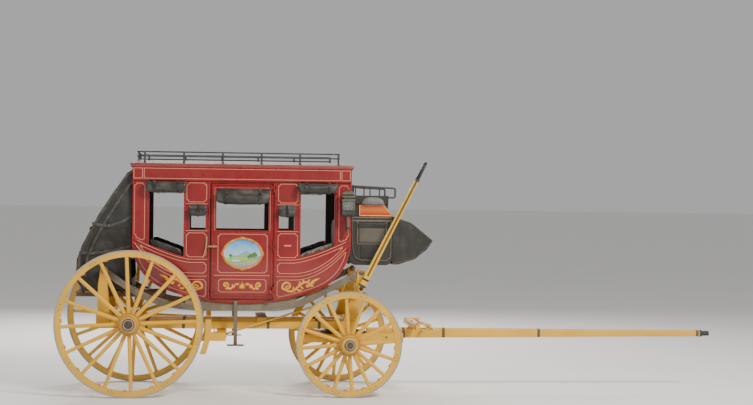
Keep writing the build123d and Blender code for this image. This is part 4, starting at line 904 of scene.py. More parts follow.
def door_scroll(side):
    """Two S scrolls that meet at an upright leaf."""
    low, high = [], []
    middle = oval_mid[0]
    curl = [(0.168, 1.160), (0.126, 1.160), (0.092, 1.182), (0.062, 1.212), (0.034, 1.206)]
    scroll = [*spiral((0.178, 1.196), 0.007, 0.037, 160, 1.32, 30), *curve_through(curl, 8)[3:],
              *spiral((0.046, 1.200), 0.012, 0.005, 150, -0.7, 12)]
    for hand in (-1, 1):
        path = [(middle + hand * x, z) for x, z in scroll]
        low.append(ribbon(path, lambda t: 0.010 + 0.010 * sin(pi * t), side, 0.003))
        high.append(ribbon(path, lambda t: 0.003 + 0.004 * sin(pi * t), side, 0.0042))
        low += [dot(middle + hand * x, z, r, side)
                for x, z, r in ((0.181, 1.198, 0.010), (0.048, 1.203, 0.008))]
        for x, z, angle, length, width, bend in ((0.104, 1.176, 66, 0.036, 0.015, 40),
                                                 (0.118, 1.166, -60, 0.026, 0.013, -30),
                                                 (0.084, 1.190, -100, 0.030, 0.013, 30)):
            whole, rib = leaf_pair((middle + hand * x, z), angle, length, width, side, hand, bend, (0.7, 0.35))
            low.append(whole)
            high.append(rib)
    for angle, length in ((90, 0.066), (58, 0.048), (122, 0.048), (24, 0.036), (156, 0.036)):
        low.append(leaf((middle, 1.172), angle, length, 0.016, side, 0, 0.0004))
        high.append(leaf((middle, 1.172), angle, length * 0.7, 0.005, side, 0, 0.0020))
    low.append(ribbon([(-0.026, 1.170), (middle, 1.165), (0.038, 1.170)], lambda t: 0.013, side))
    return low, high


oval_mid = (0.006, 1.539)
oval_a = 0.205
oval_b = 0.158


def landscape(side):
    """Bands of a small country view inside the oval: sky, hills, fields, a pond and trees."""
    cx, cz = oval_mid

    def edge(x, sign):
        share = max(0.0, 1 - ((x - cx) / oval_a)**2)
        return cz + sign * oval_b * sqrt(share)

    def band(top, out, rows=4):
        """The oval's part below a line, or all of it."""
        columns = 40
        rings = []
        for i in range(columns + 1):
            x = cx + oval_a * 0.999 * (-1 + 2 * i / columns)
            low = edge(x, -1)
            high = max(min(edge(x, 1), top(x)) if top else edge(x, 1), low + 0.0002)
            rings.append([on_side(x, low + (high - low) * j / rows, side, out) for j in range(rows + 1)])
        return skin(rings, ring_closed=False)

    def land(level, *waves):
        """A line of the land: waves of (height, rate, shift) about a level."""
        return lambda x: cz + level + sum(high * sin((x - cx) * rate + shift) for high, rate, shift in waves)

    found = [("sky", band(None, 0.0012, rows=8), sky_paint),
             ("hills", band(land(-0.012, (0.030, 17, 1.0), (0.012, 41, 0)), 0.0016), hill_paint),
             ("meadow", band(land(-0.046, (0.012, 13, 2.2)), 0.0020), meadow_paint),
             ("foreground", band(land(-0.088, (0.016, 11, -0.6)), 0.0024), field_paint)]
    pond = [on_side(x, z, side, 0.0028) for x, z in ellipse(cx - 0.070, cz - 0.078, 0.052, 0.011, 24)]
    found.append(("pond", (pond, [tuple(range(24))]), pond_paint))
    crowns, trunks = [], []
    for tx, tz, size in ((0.095, -0.052, 0.026), (0.128, -0.050, 0.033), (0.066, -0.056, 0.017),
                         (-0.128, -0.044, 0.019)):
        for dx, dz, r in ((0, 0.95, 0.62), (-0.55, 0.55, 0.5), (0.5, 0.5, 0.52), (0, 0.3, 0.5)):
            x, z, count = cx + tx + dx * size, cz + tz + (dz + 0.6) * size, 14
            points = [on_side(*p, side, 0.0028) for p in ellipse(x, z, r * size, r * size * 0.9, count)]
            points.append(on_side(x, z, side, 0.0046))
            crowns.append((points, [(i, (i + 1) % count, count) for i in range(count)]))
        trunks.append(ribbon([(cx + tx, cz + tz - 0.010), (cx + tx, cz + tz + size * 0.9)],
                             lambda t: 0.0038, side, 0.001, 0.0022))
    return [*found, ("trees", crowns, tree_paint), ("trunks", trunks, dark_stripe)]


def view_paint(name, low, high, z0, z1, scale=30):
    """Artist's oil colours that shade from low to high."""
    look = Look(name)
    share = look.ranged(look.axis("Z"), z0, z1)
    dab = look.ranged(look.noise(scale, 5), 0.3, 0.7, -0.18, 0.18)
    look.colour(look.mixed(look.calc(share, dab, "ADD"), low, high))
    look.set(Roughness=0.35, Coat_Weight=0.4, Coat_Roughness=0.12)
    return look.made


sky_paint = view_paint("sky_paint", (0.46, 0.62, 0.70), (0.055, 0.30, 0.60), 1.50, 1.67, 14)
hill_paint = view_paint("hill_paint", (0.20, 0.36, 0.20), (0.22, 0.38, 0.42), 1.49, 1.58, 40)
meadow_paint = view_paint("meadow_paint", (0.22, 0.36, 0.07), (0.36, 0.54, 0.12), 1.44, 1.51, 50)
field_paint = view_paint("field_paint", (0.22, 0.22, 0.20), (0.38, 0.37, 0.33), 1.38, 1.46, 60)
pond_paint = view_paint("pond_paint", (0.30, 0.46, 0.56), (0.55, 0.68, 0.72), 1.45, 1.47, 30)
tree_paint = view_paint("tree_paint", (0.05, 0.10, 0.03), (0.13, 0.22, 0.06), 1.49, 1.56, 90)

frame_x = door_half - 0.016
rail_x = 0.304
# On a door: (path, profile, closed)
door_beads = (
    (corners_of(-frame_x, frame_x, door_bottom_z + 0.014, door_top_z - 0.012), flat_bead(0.018, 0.008), True),
    (corners_of(-frame_x + 0.026, frame_x - 0.026, door_bottom_z + 0.040, door_top_z - 0.034),
     bead(0.011, 0.006), True),
    ([(-rail_x, 1.292), (rail_x, 1.292)], flat_bead(0.034, 0.009), False),
    ([(-rail_x, 1.768), (rail_x, 1.768)], bead(0.016, 0.008), False),
    ([(-rail_x, 1.088), (rail_x, 1.088)], bead(0.014, 0.007), False),
    (corners_of(-door_window_half - 0.006, door_window_half + 0.006, door_window_sill_z - 0.006,
                door_window_top_z + 0.006), bead(0.011, 0.006), True),
)
door_lines = (
    (notched(corners_of(-0.258, 0.270, 1.332, 1.748), notch_r), flat_stripe(stripe_w), True),
    (notched(corners_of(-0.248, 0.262, 1.122, 1.262), notch_r * 0.8), flat_stripe(stripe_w), True),
    ([(-0.298, 1.786), (-0.298, 2.246), (0.298, 2.246), (0.298, 1.786)],
     raised(flat_stripe(0.005), 0.0004), False),
    ([(-0.300, 1.304), (0.300, 1.304)], raised(flat_stripe(0.005), 0.0086), False),
)


def oval_rope(side):
    """The oval's frame: two gilt strands twisted round it, a flat rim, and leaves at its four ends."""
    count, twists, strand_r = 150, 46, 0.0045
    rope = []
    for strand in range(2):
        line = []
        for i, (x, z) in enumerate(ellipse(*oval_mid, oval_a, oval_b, count)):
            turn = 2 * pi * (i * twists / count + strand / 2)
            away = Vector((x - oval_mid[0], z - oval_mid[1])).normalized() * strand_r * sin(turn)
            line.append(on_side(x + away.x, z + away.y, side, 0.006 + strand_r * cos(turn)))
        rope.append(tube(line, 0.0052, 8, closed=True))
    rope.append(along_side(ellipse(*oval_mid, oval_a + 0.010, oval_b + 0.010, 90), flat_bead(0.007, 0.004),
                           side, closed=True, step=1))
    for px, pz, angle in ((0, 1, 90), (0, -1, -90), (1, 0, 0), (-1, 0, 180)):
        root = (oval_mid[0] + px * (oval_a + 0.004), oval_mid[1] + pz * (oval_b + 0.004))
        rope += [leaf(root, angle + spread, length, 0.012, side, 0, 0.001)
                 for spread, length in ((0, 0.026), (62, 0.030), (-62, 0.030))]
    return rope


for side_name, side in SIDES:
    door = f"door_panel_{side_name}"
    for name, parts, look in (("mouldings", door_beads, highlit_moulding_paint), ("lines", door_lines, stripe_paint)):
        strips = [along_side(path, profile, side, closed) for path, profile, closed in parts]
        piece(f"door_{name}_{side_name}", strips, look, door)
    low, high = door_scroll(side)
    piece(f"door_scroll_{side_name}", low, gold, door)
    piece(f"door_scroll_light_{side_name}", high, gold_pale, door)
    for part_name, shape, look in landscape(side):
        piece(f"oval_{part_name}_{side_name}", shape, look, door)
    piece(f"oval_frame_{side_name}", oval_rope(side), gold, door)
    low, high = (sum(more, []) for more in zip(*(hull_scroll(side, end) for end in (1, -1))))
    piece(f"hull_scrolls_{side_name}", low, gold, "coach")
    piece(f"hull_scroll_lights_{side_name}", high, gold_pale, "coach")
    handle = [tube([(mid_x - 0.3685, side * 0.683, 1.614), (mid_x - 0.2645, side * 0.683, 1.614)],
                   lambda t: 0.0105 if t < 0.03 or t > 0.97 else 0.0092, 14)]
    handle.append(lathe([(0, 0.019), (0.003, 0.019), (0.006, 0.014), (0.020, 0.008)],
                        on_side(-0.300, 1.614, side, 0.0), (0, side, 0), 20))
    piece(f"door_handle_{side_name}", handle, brass, door)
    hang = curve_through([(0, 1.716, 0.006), (0, 1.660, 0.020), (0, 1.600, 0.026), (0, 1.540, 0.020),
                          (0, 1.490, 0.006)], 6)
    grab = [on_side(-0.384 - (1.716 - z) * 0.17 + 0.6 * out, z, side, out) for x, z, out in hang]
    piece(f"grab_strap_{side_name}", strap(grab, 0.015, 0.005, ALONG), tan_leather, "coach", 0.0015)
    ends = [bolt(grab[0] + Vector((0, side * 0.003, -0.008)), (0, side, 0), 0.007),
            bolt(grab[-1] + Vector((0, side * 0.003, 0.008)), (0, side, 0), 0.007)]
    piece(f"grab_strap_studs_{side_name}", ends, brass, "coach")


# Roof edge, tacks and seams, and the front wall's trim

def around(loop, z, profile):
    """A moulding round a flat loop of (x, y); profile holds (out, up)."""
    count = len(loop)
    rings = []
    for i in range(count):
        a, p, b = Vector(loop[i - 1]), Vector(loop[i]), Vector(loop[(i + 1) % count])
        d1, d2 = (p - a).normalized(), (b - p).normalized()
        n = (Vector((d1.y, -d1.x)) + Vector((d2.y, -d2.x))).normalized()
        n = n / max(MITRE_LEAST, n.dot(Vector((d1.y, -d1.x))))
        rings.append([Vector((p.x + n.x * out, p.y + n.y * out, z + up)) for out, up in profile])
    return skin(rings, closed=True)


roof_corners = [(x, y, 0) for x, y in corners_of(-1.195, 1.195, -0.674, 0.674)]
roof_loop = [(mid_x + p.x, p.y) for p in rounded(roof_corners, 0.02, 5, closed=True)]

edge = [(-0.004, -0.004), (0.002, -0.004), (0.0045, 0.002), (0.0055, 0.013), (0.0035, 0.024),
        (-0.002, 0.030), (-0.014, 0.034), (-0.016, 0.026)]
piece("roof_edge", around(roof_loop, 2.469, edge), roof_edge_paint, "coach")
reveal = [(-0.024, -0.0005), (-0.001, -0.0005), (-0.001, -0.006), (-0.009, -0.012), (-0.014, -0.012)]
piece("roof_reveal", around(roof_loop, 2.4655, reveal), highlit_moulding_paint, "coach")


def roof_height(y):
    """Height of the roof's crown over a y."""
    edge_z, crown_z, half = 2.4995, 2.5448, 0.654
    return edge_z + (crown_z - edge_z) * max(0.0, 1 - (abs(y) / half)**2)


tacks, seams = [], []
for i in range(60):
    for y in (-0.648, 0.648):
        place = (mid_x - 1.165 + 2.33 * i / 59, y, roof_height(y) - 0.0004)
        tacks.append(lathe([(0, 0.004), (0.0015, 0.0035), (0.003, 0.001)], place, UP, 8))
piece("roof_tacks", tacks, brass, "coach")
for x in (-0.60, 0.0, 0.60):
    line = [at(x, y, roof_height(y) + 0.0002) for y in [-0.64 + 0.08 * k for k in range(17)]]
    seams.append(strap(line, 0.030, 0.003, ALONG))
piece("roof_seams", seams, roof_canvas, "coach", 0.001)

front_x = mid_x + body_half
loop = [(front_x + 0.0006, y, z) for y, z in corners_of(-0.60, 0.60, *cornice_z)]
wall_lines = [tube([a, b], 0.0028, 6) for a, b in zip(loop, loop[1:] + loop[:1])]
piece("front_wall_lines", wall_lines, stripe_paint, "coach")
wall_beads = [tube([(front_x, -0.622, z), (front_x, 0.622, z)], 0.008, 8)
              for z in cornice_bead_z]
wall_beads += [tube([(front_x - 0.001, y, 1.70), (front_x - 0.001, y, 2.46)], 0.008, 8)
               for y in (-0.618, 0.618)]
piece("front_wall_beads", wall_beads, highlit_moulding_paint, "coach")


# Roof rail: flanged feet on the roof, and collars on the posts

post_places = [(-1.050 + 0.417 * k, y) for k in range(6) for y in (-0.590, 0.590)]
post_places += [(-1.130, -0.1967), (-1.130, 0.1967)]
feet = []
for x, y in post_places:
    place = at(x, y, roof_height(y) - 0.0005)
    feet.append(lathe([(0, 0.024), (0.003, 0.024), (0.005, 0.0125), (0.016, 0.0105)], place, UP, 18))
    feet.append(lathe([(-0.010, 0.0105), (-0.008, 0.0125), (0.008, 0.0125), (0.010, 0.0105)],
                      (place.x, place.y, 2.578), UP, 14))
    feet += [bolt(place + Vector((dx, dy, 0.002)), UP, 0.0030)
             for dx, dy in ((-0.017, 0), (0.017, 0), (0, -0.017), (0, 0.017))]
piece("rail_feet", feet, rail_iron, "coach")


# Rolled leather curtains: each is one sheet wound on itself and tied by straps

def roll(name, x, z, r, length, side, body, straps, sag, seed):
    """A rolled curtain, its straps and what it hangs from."""
    core, pitch, per_turn = 0.012, 0.0105, 26
    count = int((r - core) / pitch * per_turn)
    columns = max(10, int(length / 0.018))
    mid_y = side_out(z) + r + 0.001
    rings = []

    def slump_at(u):
        return sag * (1 - (2 * u - 1)**2)

    def swell_at(u):
        return 1.0 - 0.17 * abs(2 * u - 1)**4

    for c in range(columns + 1):
        u = c / columns
        along = (u - 0.5) * length
        slump, swell = slump_at(u), swell_at(u)
        turned_up = 0.012 * max(0.0, abs(2 * u - 1) - 0.86) / 0.14
        flat = 1.0 - 0.06 * (1 - abs(2 * u - 1))
        top = z + (r + 0.030)
        line = [(side_out(top) + 0.003, top - slump * 0.2),
                (side_out(z + r * 0.6) + 0.003, z + r * 0.6 - slump * 0.6)]
        for k in range(count + 1):
            angle = pi + 2 * pi * k / per_turn
            spot = Vector((along * 9 + seed, 2.2 * cos(angle), 2.2 * sin(angle) + 0.15 * k / per_turn))
            radius = (r - 0.004 - pitch * k / per_turn) * swell * (1 + 0.085 * noise.noise(spot))
            line.append((mid_y + radius * cos(angle), z + radius * sin(angle) * flat - slump + turned_up))
        rings.append([at(x + along + 0.004 * sin(k * 0.9 + seed), side * y, up)
                      for k, (y, up) in enumerate(line)])
    obj = piece(name, skin(rings, ring_closed=False), roll_leather, body, thick=0.003, smooth=70)
    bands = []
    for share in straps:
        slump, radius = slump_at(0.5 + share), (r + 0.0005) * swell_at(0.5 + share)
        loop = [at(x + share * length, side * (mid_y + radius * cos(a)), z + radius * sin(a) * 0.97 - slump)
                for a in turn_of(28)]
        hanger = [loop[13], *(on_side(x + share * length, up, side, 0.0045) for up in (z + r, z + r + 0.034))]
        buckle = [loop[i] + Vector((0, side * 0.002, 0)) for i in (27, 1, 2)]
        for points, width, thick in (([*loop, loop[0]], 0.024, 0.003), (hanger, 0.024, 0.003),
                                     (buckle, 0.034, 0.004)):
            bands.append(strap(points, width, thick, ALONG))
    tie = piece(f"{name}_straps", bands, black_leather, body, 0.0008)
    return obj


for side_name, side in SIDES:
    for end_name, end in ENDS:
        roll(f"roll_large_{end_name}_{side_name}",
                          end * (large_near_x + large_far_x) / 2 - 0.006, 2.252, 0.066, 0.418, side,
                          "coach", (-0.30, 0.30), 0.006, 3.1 * end + side)
        roll(f"roll_small_{end_name}_{side_name}", end * small_window_x, 1.984, 0.050, 0.186,
                          side, "coach", (0.0,), 0.002, 7.7 * end + side)
    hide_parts(f"curtains_{side_name}")
    door_roll = roll(f"roll_door_{side_name}", 0.0, 2.143, 0.070, 0.562, side,
                     f"door_panel_{side_name}", (-0.32, 0.32), 0.016, 1.3 + side)
    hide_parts(f"curtain_door_{side_name}")


# Thoroughbraces: stacks of leather that hang between the standards, bound by straps

brace_path = [(-1.470, 1.340), (-1.190, 1.140), (-0.900, 1.004), (-0.560, 0.947), (0.560, 0.947),
              (1.300, 1.340)]
brace_layers = 7


def brace_line(side):
    return [at(p.x, side * brace_y, p.z) for p in
            fine(rounded([(x, 0, z) for x, z in brace_path], 0.24, 9), 0.035)]


def plane_normals(points):
    """Upward normals of a line in an XZ plane."""
    found = []
    for i in range(len(points)):
        d = (points[min(i + 1, len(points) - 1)] - points[max(i - 1, 0)]).normalized()
        found.append(Vector((-d.z, 0, d.x)))
    return found


def point_at(points, x):
    """The point and the direction of a line at a station."""
    for a, b in zip(points, points[1:]):
        if a.x <= mid_x + x <= b.x:
            t = (mid_x + x - a.x) / (b.x - a.x)
            return a.lerp(b, t), (b - a).normalized()
    return points[-1], (points[-1] - points[-2]).normalized()


def oriented_block(centre, along, across, half_a, half_b, half_c):
    """A box with its length along one direction and its width across another."""
    a = Vector(along).normalized()
    b = (Vector(across) - a * Vector(across).dot(a)).normalized()
    c = a.cross(b)
    points = [Vector(centre) + a * (i * half_a) + b * (j * half_b) + c * (k * half_c)
              for i in (-1, 1) for j in (-1, 1) for k in (-1, 1)]
    return points, block((0, 0, 0), (1, 1, 1))[1]


for side_name, side in SIDES:
    line = brace_line(side)
    normals = plane_normals(line)
    pitch = brace_t / brace_layers
    out_y, out_z = brace_w / 2 + 0.003, brace_t / 2 + 0.003
    stack, eyes, bands = [], [], []
    for i in range(brace_layers):
        level = (i + 0.5 - brace_layers / 2) * pitch
        run = []
        for p, n in zip(line, normals):
            wander = 0.0009 * noise.noise(Vector((p.x * 5, i * 3.7, side)))
            sway = 0.0014 * noise.noise(Vector((p.x * 3 + 9, i * 5.1, side)))
            run.append(p + n * (level * 0.97 + wander) + Vector((0, sway, 0)))
        stack.append(strap(run, brace_w - 0.0032, pitch * 0.80, ACROSS))
    brace = piece(f"brace_layers_{side_name}", stack, brace_leather, "coach", 0.0012)
    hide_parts(f"thoroughbrace_{side_name}")
    for x, z in (brace_path[0], brace_path[-1]):
        for k in range(4):
            r0, r1 = 0.018 + k * 0.006, 0.0232 + k * 0.006
            w = brace_w / 2 - 0.001
            eyes.append(lathe([(-w, r0), (-w, r1), (w, r1), (w, r0), (-w, r0)], at(x, side * brace_y, z),
                              ACROSS, 30))
    for x in (-1.330, -1.040, 0.900, 1.205):
        centre, along = point_at(line, x)
        bands.append(oriented_block(centre, along, ACROSS, 0.019, out_y, out_z))
        up = Vector((-along.z, 0, along.x))
        bands += [bolt(centre + up * k + Vector((0, side * out_y, 0)), (0, side, 0), 0.0045)
                  for k in (-0.020, 0.0, 0.020)]
    piece(f"brace_eyes_{side_name}", eyes, brace_leather, "coach")
    piece(f"brace_bands_{side_name}", bands, rim_leather, "coach", 0.002)


# Lamps: a glazed box under stacked vanes and a chimney, on a tapered candle tube

lamp_x = 1.133
lamp_y = 0.764
lamp_low = 1.990
lamp_half = 0.075


def square_skin(centre, rows):
    """A skin through level squares: rows hold (half width, height)."""
    return skin([[Vector((centre.x + sx * half, centre.y + sy * half, z))
                  for sx, sy in ((-1, -1), (1, -1), (1, 1), (-1, 1))] for half, z in rows])


def lamp(side_name, side):
    centre = at(lamp_x, side * lamp_y, 0)
    glass_low, glass_high = lamp_low + 0.030, 2.126

    def part(x0, x1, y0, y1, z0, z1):
        """A box from the lamp's middle, with y outwards."""
        return block((centre.x + x0, centre.y + side * y0, z0), (centre.x + x1, centre.y + side * y1, z1))

    def plate(half, z0, z1):
        return part(-half, half, -half, half, z0, z1)

    def held_block(half, y0, y1, z0, z1):
        """A box of the bracket, with y from the coach's middle."""
        return block((centre.x - half, side * y0, z0), (centre.x + half, side * y1, z1))

    # The base is darker than the case: painted shade under the lamp
    base = [plate(lamp_half, lamp_low, lamp_low + 0.010), plate(0.069, lamp_low + 0.010, lamp_low + 0.024),
            plate(0.073, lamp_low + 0.024, lamp_low + 0.031),
            square_skin(centre, ((0.024, 1.9515), (0.040, 1.956), (0.066, 1.972), (0.073, 1.984),
                                 (0.073, 1.991)))]
    bottom = piece(f"lamp_base_{side_name}", base, shaded_lamp_iron, "coach", 0.0014)
    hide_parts(f"lamp_{side_name}")
    post, inner, outer = 0.0585, 0.0575, 0.0615
    case = [part(x - 0.0065, x + 0.0065, y - 0.0065, y + 0.0065, glass_low, glass_high)
            for x in (-post, post) for y in (-post, post)]
    for z in (2.0465, 2.0865):
        case.append(part(-0.060, 0.060, inner, outer, z - 0.002, z + 0.002))
        case += [part(sx * inner, sx * outer, -0.060, 0.060, z - 0.002, z + 0.002) for sx in (-1, 1)]
    case.append(part(-0.0635, 0.0635, -0.0635, -inner, glass_low, glass_high))
    case += [plate(*sizes) for sizes in (
        (0.0745, 2.122, 2.1345), (0.068, 2.1345, 2.139), (0.0715, 2.158, 2.170), (0.066, 2.170, 2.174),
        (0.0730, 2.192, 2.2035), (0.067, 2.2035, 2.2075), (0.050, 2.126, 2.206))]
    case.append(square_skin(centre, ((0.061, 2.2070), (0.052, 2.2160), (0.034, 2.2215), (0.030, 2.2245))))
    case.append(lathe([(0, 0.024), (0.002, 0.020), (0.005, 0.020), (0.006, 0.025), (0.0078, 0.024)],
                      centre + Vector((0, 0, 2.224)), UP, 24))
    piece(f"lamp_case_{side_name}", case, lamp_tin, "coach", 0.0014)
    stem = [(0, 0.006), (0.006, 0.0105), (0.012, 0.008), (0.018, 0.0120), (0.024, 0.0135), (0.134, 0.0180),
            (0.138, 0.0205), (0.146, 0.0205), (0.150, 0.0180), (0.158, 0.0190), (0.172, 0.0240)]
    piece(f"lamp_stem_{side_name}", lathe(stem, centre + Vector((0, 0, 1.780)), UP, 28), lamp_tin, "coach")
    arm = [(centre.x, side * y, z) for y, z in ((0.652, 1.826), (0.705, 1.820), (0.752, 1.826))]
    held = [held_block(0.018, 0.6475, 0.655, 1.975, 2.060), held_block(0.018, 0.650, 0.693, 1.994, 2.006),
            held_block(0.014, 0.6475, 0.655, 1.800, 1.850), tube(arm, 0.0075, 10),
            lathe([(-0.008, 0.0205), (0.008, 0.0205), (0.008, 0.0155), (-0.008, 0.0155)],
                  centre + Vector((0, 0, 1.826)), UP, 24)]
    held += [bolt((centre.x, side * 0.655, z), (0, side, 0), 0.005) for z in (1.984, 2.050)]
    piece(f"lamp_bracket_{side_name}", held, iron, "coach", 0.001)
    pane, pane_in, pane_out, pane_top = 0.053, 0.0555, 0.0570, 2.124
    panes = [part(-pane, pane, pane_in, pane_out, glass_low, pane_top),
             part(pane_in, pane_out, -pane, pane, glass_low, pane_top),
             part(-pane_out, -pane_in, -pane, pane, glass_low, pane_top)]
    piece(f"lamp_panes_{side_name}", panes, glass, "coach")
    candle = lathe([(0, 0.016), (0.010, 0.016), (0.012, 0.011), (0.050, 0.011), (0.052, 0.002), (0.060, 0.001)],
                   centre + Vector((0, 0, glass_low)), UP, 20)
    piece(f"lamp_candle_{side_name}", candle, gold_pale, "coach")


for side_name, side in SIDES:
    lamp(side_name, side)


# Front boot: leather panels and flaps, rim straps and studs

def side_loop(x0, x1, z0, z1, y, r=0.03):
    return [at(p.x, y, p.y) for p in
            rounded([(x, z, 0) for x, z in corners_of(x0, x1, z0, z1)], r, 6, closed=True)]


def pad(loop, out, rise, shrink=0.012):
    """A raised pad over a loop that lies in a plane with its normal along out."""
    out = Vector(out)
    centre = sum(loop, Vector()) / len(loop)
    rings = [loop]
    for share, high in ((0.0, 0.5), (0.35, 0.86), (1.0, 1.0)):
        rings.append([p + (centre - p).normalized() * shrink * share + out * (rise * high) for p in loop])
    points, faces = skin(rings, caps=False)
    return points, [*faces, tuple(range(len(points) - len(loop), len(points)))]


boot_rim = [(1.204, 1.948), (1.208, 1.640), (1.216, 1.560), (1.244, 1.500), (1.292, 1.474), (1.590, 1.472),
            (1.622, 1.500), (1.630, 1.560), (1.632, 1.948)]
panel_rows = ((1.874, 0.000), (1.868, 0.004), (1.800, 0.007), (1.700, 0.0135), (1.676, 0.0155),
              (1.668, 0.013), (1.664, 0.000))  # (height, how far out)
rim_straps = (  # (start, end, width, thickness, out, direction of the width)
    ((1.198, 1.941), (1.640, 1.941), 0.014, 0.007, 0.003, UP),
    ((1.198, 1.906), (1.640, 1.906), 0.018, 0.007, 0.003, UP),
    ((1.262, 1.900), (1.264, 1.660), 0.013, 0.005, 0.003, ALONG),
    ((1.582, 1.900), (1.580, 1.660), 0.013, 0.005, 0.003, ALONG),
    ((1.262, 1.652), (1.582, 1.652), 0.010, 0.004, 0.002, UP),
)

for side_name, side in SIDES:
    y, outward = side * (boot_half + 0.0006), (0, side, 0)
    upper = [[at(x, y + side * o, z) for x, o in ((1.278, 0), (1.281, out * 0.8), (1.290, out), (1.556, out),
                                                  (1.564, out * 0.8), (1.567, 0))] for z, out in panel_rows]
    flaps = [pad(side_loop(1.292, 1.531, 1.499, 1.629, y), outward, 0.008),
             pad(side_loop(1.262, 1.583, 1.826, 1.882, y + side * 0.004, 0.012), outward, 0.007, 0.006)]
    rims = [tube(rounded([at(x, y + side * 0.003, z) for x, z in boot_rim], 0.05, 6), 0.0095, 8, flat=0.55)]
    rims += [strap([at(x, y + side * out, z) for x, z in (start, end)], width, thick, across)
             for start, end, width, thick, out, across in rim_straps]
    studs = [bolt(at(1.286, y, 1.505 + i * 0.0145), outward, 0.0030) for i in range(9)]
    studs += [bolt(at(1.222 + i * 0.031, y + side * 0.0065, 1.906), outward, 0.0024) for i in range(14)]
    piece(f"boot_panels_{side_name}", skin(upper, ring_closed=False), boot_panel_leather, "coach")
    piece(f"boot_flaps_{side_name}", flaps, boot_leather, "coach")
    piece(f"boot_rims_{side_name}", rims, rim_leather, "coach")
    piece(f"boot_studs_{side_name}", studs, worn_iron, "coach")


# Boot lining: a leathered board with studded battens over the body's front wall

lining_x = front_x + 0.0008
battens, studs = [block((lining_x, -0.470, 1.424), (lining_x + 0.006, 0.470, 1.954))], []
for y in (-0.445, 0.0, 0.445):
    battens.append(block((lining_x + 0.006, y - 0.022, 1.452), (lining_x + 0.0095, y + 0.022, 1.950)))
    studs += [bolt((lining_x + 0.0095, y, 1.475 + 0.05 * k), ALONG, 0.0050) for k in range(10)]
piece("boot_lining", battens, boot_leather, "coach", 0.001)
piece("boot_lining_studs", studs, worn_iron, "coach")


# Driver's seat: painted edges on the bare side boards

board_low, board_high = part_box("side_boards")
board_rear_x = board_low.x - mid_x + 0.006
board_front_x = board_high.x - mid_x
board_low_z, board_high_z = 1.9635, 2.0735

for side_name, side in SIDES:
    outline = [(board_rear_x, board_low_z), (board_front_x - 0.010, board_low_z),
               (board_front_x - 0.091 - 0.008, board_high_z), (board_rear_x, board_high_z)]
    loop = [at(x, side * 0.5008, z) for x, z in outline]
    edges = [strap([start, end], width, 0.002, across) for start, end, width, across in zip(
        loop, loop[1:] + loop[:1], (0.009, 0.006, 0.004, 0.008), (UP, (1, 0, 0.75), UP, ALONG))]
    piece(f"board_lines_{side_name}", edges, gold_pale, "coach")


# Cushions, filled by a short cloth simulation inside the CAD shapes

def freeze(obj):
    """The object's modifiers become its mesh."""
    graph = bpy.context.evaluated_depsgraph_get()
    graph.update()
    mesh = bpy.data.meshes.new_from_object(obj.evaluated_get(graph))
    obj.modifiers.clear()
    obj.data = mesh


def gridded(name, node, look, voxel):
    """A copy of a CAD node as an even grid of quads."""
    obj = bpy.data.objects.new(name, nodes[node].data.copy())
    bpy.context.scene.collection.objects.link(obj)
    even = obj.modifiers.new("even", "REMESH")
    even.mode = "VOXEL"
    even.voxel_size = voxel
    even.use_smooth_shade = True
    freeze(obj)
    obj.data.materials.clear()
    obj.data.materials.append(look)
    return obj


def moved(obj, shift):
    """Moves each vertex by shift(point, normal)."""
    normals = [v.normal.copy() for v in obj.data.vertices]
    for v, n in zip(obj.data.vertices, normals):
        v.co = v.co + shift(v.co, n)
    obj.data.update()


def filled(obj, pressure, most, floor_z):
    """Fills a cushion like cloth under pressure, with no point moved further than most."""
    frames = 20
    scene = bpy.context.scene
    start = [v.co.copy() for v in obj.data.vertices]
    cloth = obj.modifiers.new("fill", "CLOTH")
    for key, value in (("quality", 4), ("mass", 0.25), ("tension_stiffness", 12),
                       ("compression_stiffness", 12), ("shear_stiffness", 5), ("bending_stiffness", 0.4),
                       ("use_pressure", True), ("uniform_pressure_force", pressure)):
        setattr(cloth.settings, key, value)
    cloth.settings.effector_weights.gravity = 0
    cloth.collision_settings.use_collision = False
    cloth.point_cache.frame_end = frames
    for number in range(1, frames + 1):
        scene.frame_set(number)
    graph = bpy.context.evaluated_depsgraph_get()
    posed = obj.evaluated_get(graph).to_mesh()
    ends = [v.co.copy() for v in posed.vertices]
    obj.evaluated_get(graph).to_mesh_clear()
    obj.modifiers.clear()
    scene.frame_set(1)
    for v, a, b in zip(obj.data.vertices, start, ends):
        step = b - a
        if step.length > most:
            step = step.normalized() * most
        v.co = a + step
        v.co.z = max(v.co.z, floor_z)
    obj.data.update()


channel_gap, channel_depth, channel_half = 0.095, 0.0055, 0.007
for node, look, voxel, fill in (("driver_cushion", grey_leather, 0.006, 0.75),
                                ("cushion_rear", seat_leather, 0.009, 0.7),
                                ("cushion_middle", seat_leather, 0.007, 0.7),
                                ("cushion_front", seat_leather, 0.009, 0.7)):
    cushion = gridded(f"{node}_soft", node, look, voxel)
    low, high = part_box(node)
    filled(cushion, 4.0, 0.010, low.z + 0.0005)

    def channels(p, n, middle=(low.y + high.y) / 2):
        """Sewn grooves across the cushion, and small wrinkles."""
        u = (p.y - middle) / channel_gap
        near = abs(u - round(u)) * channel_gap
        groove = -channel_depth * 2.718 ** -((near / channel_half)**2)
        wrinkle = 0.0016 * noise.noise(Vector((p.x * 22, p.y * 30, p.z * 22)))
        return n * (groove + wrinkle)

    moved(cushion, channels)
    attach(cushion, "coach")
    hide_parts(node)


# Leather at the driver's feet and over the rear rack

def creased(node, name, voxel, folds):
    obj = gridded(name, node, boot_leather, voxel)
    moved(obj, folds)
    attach(obj, "coach")
    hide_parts(node)
    return obj


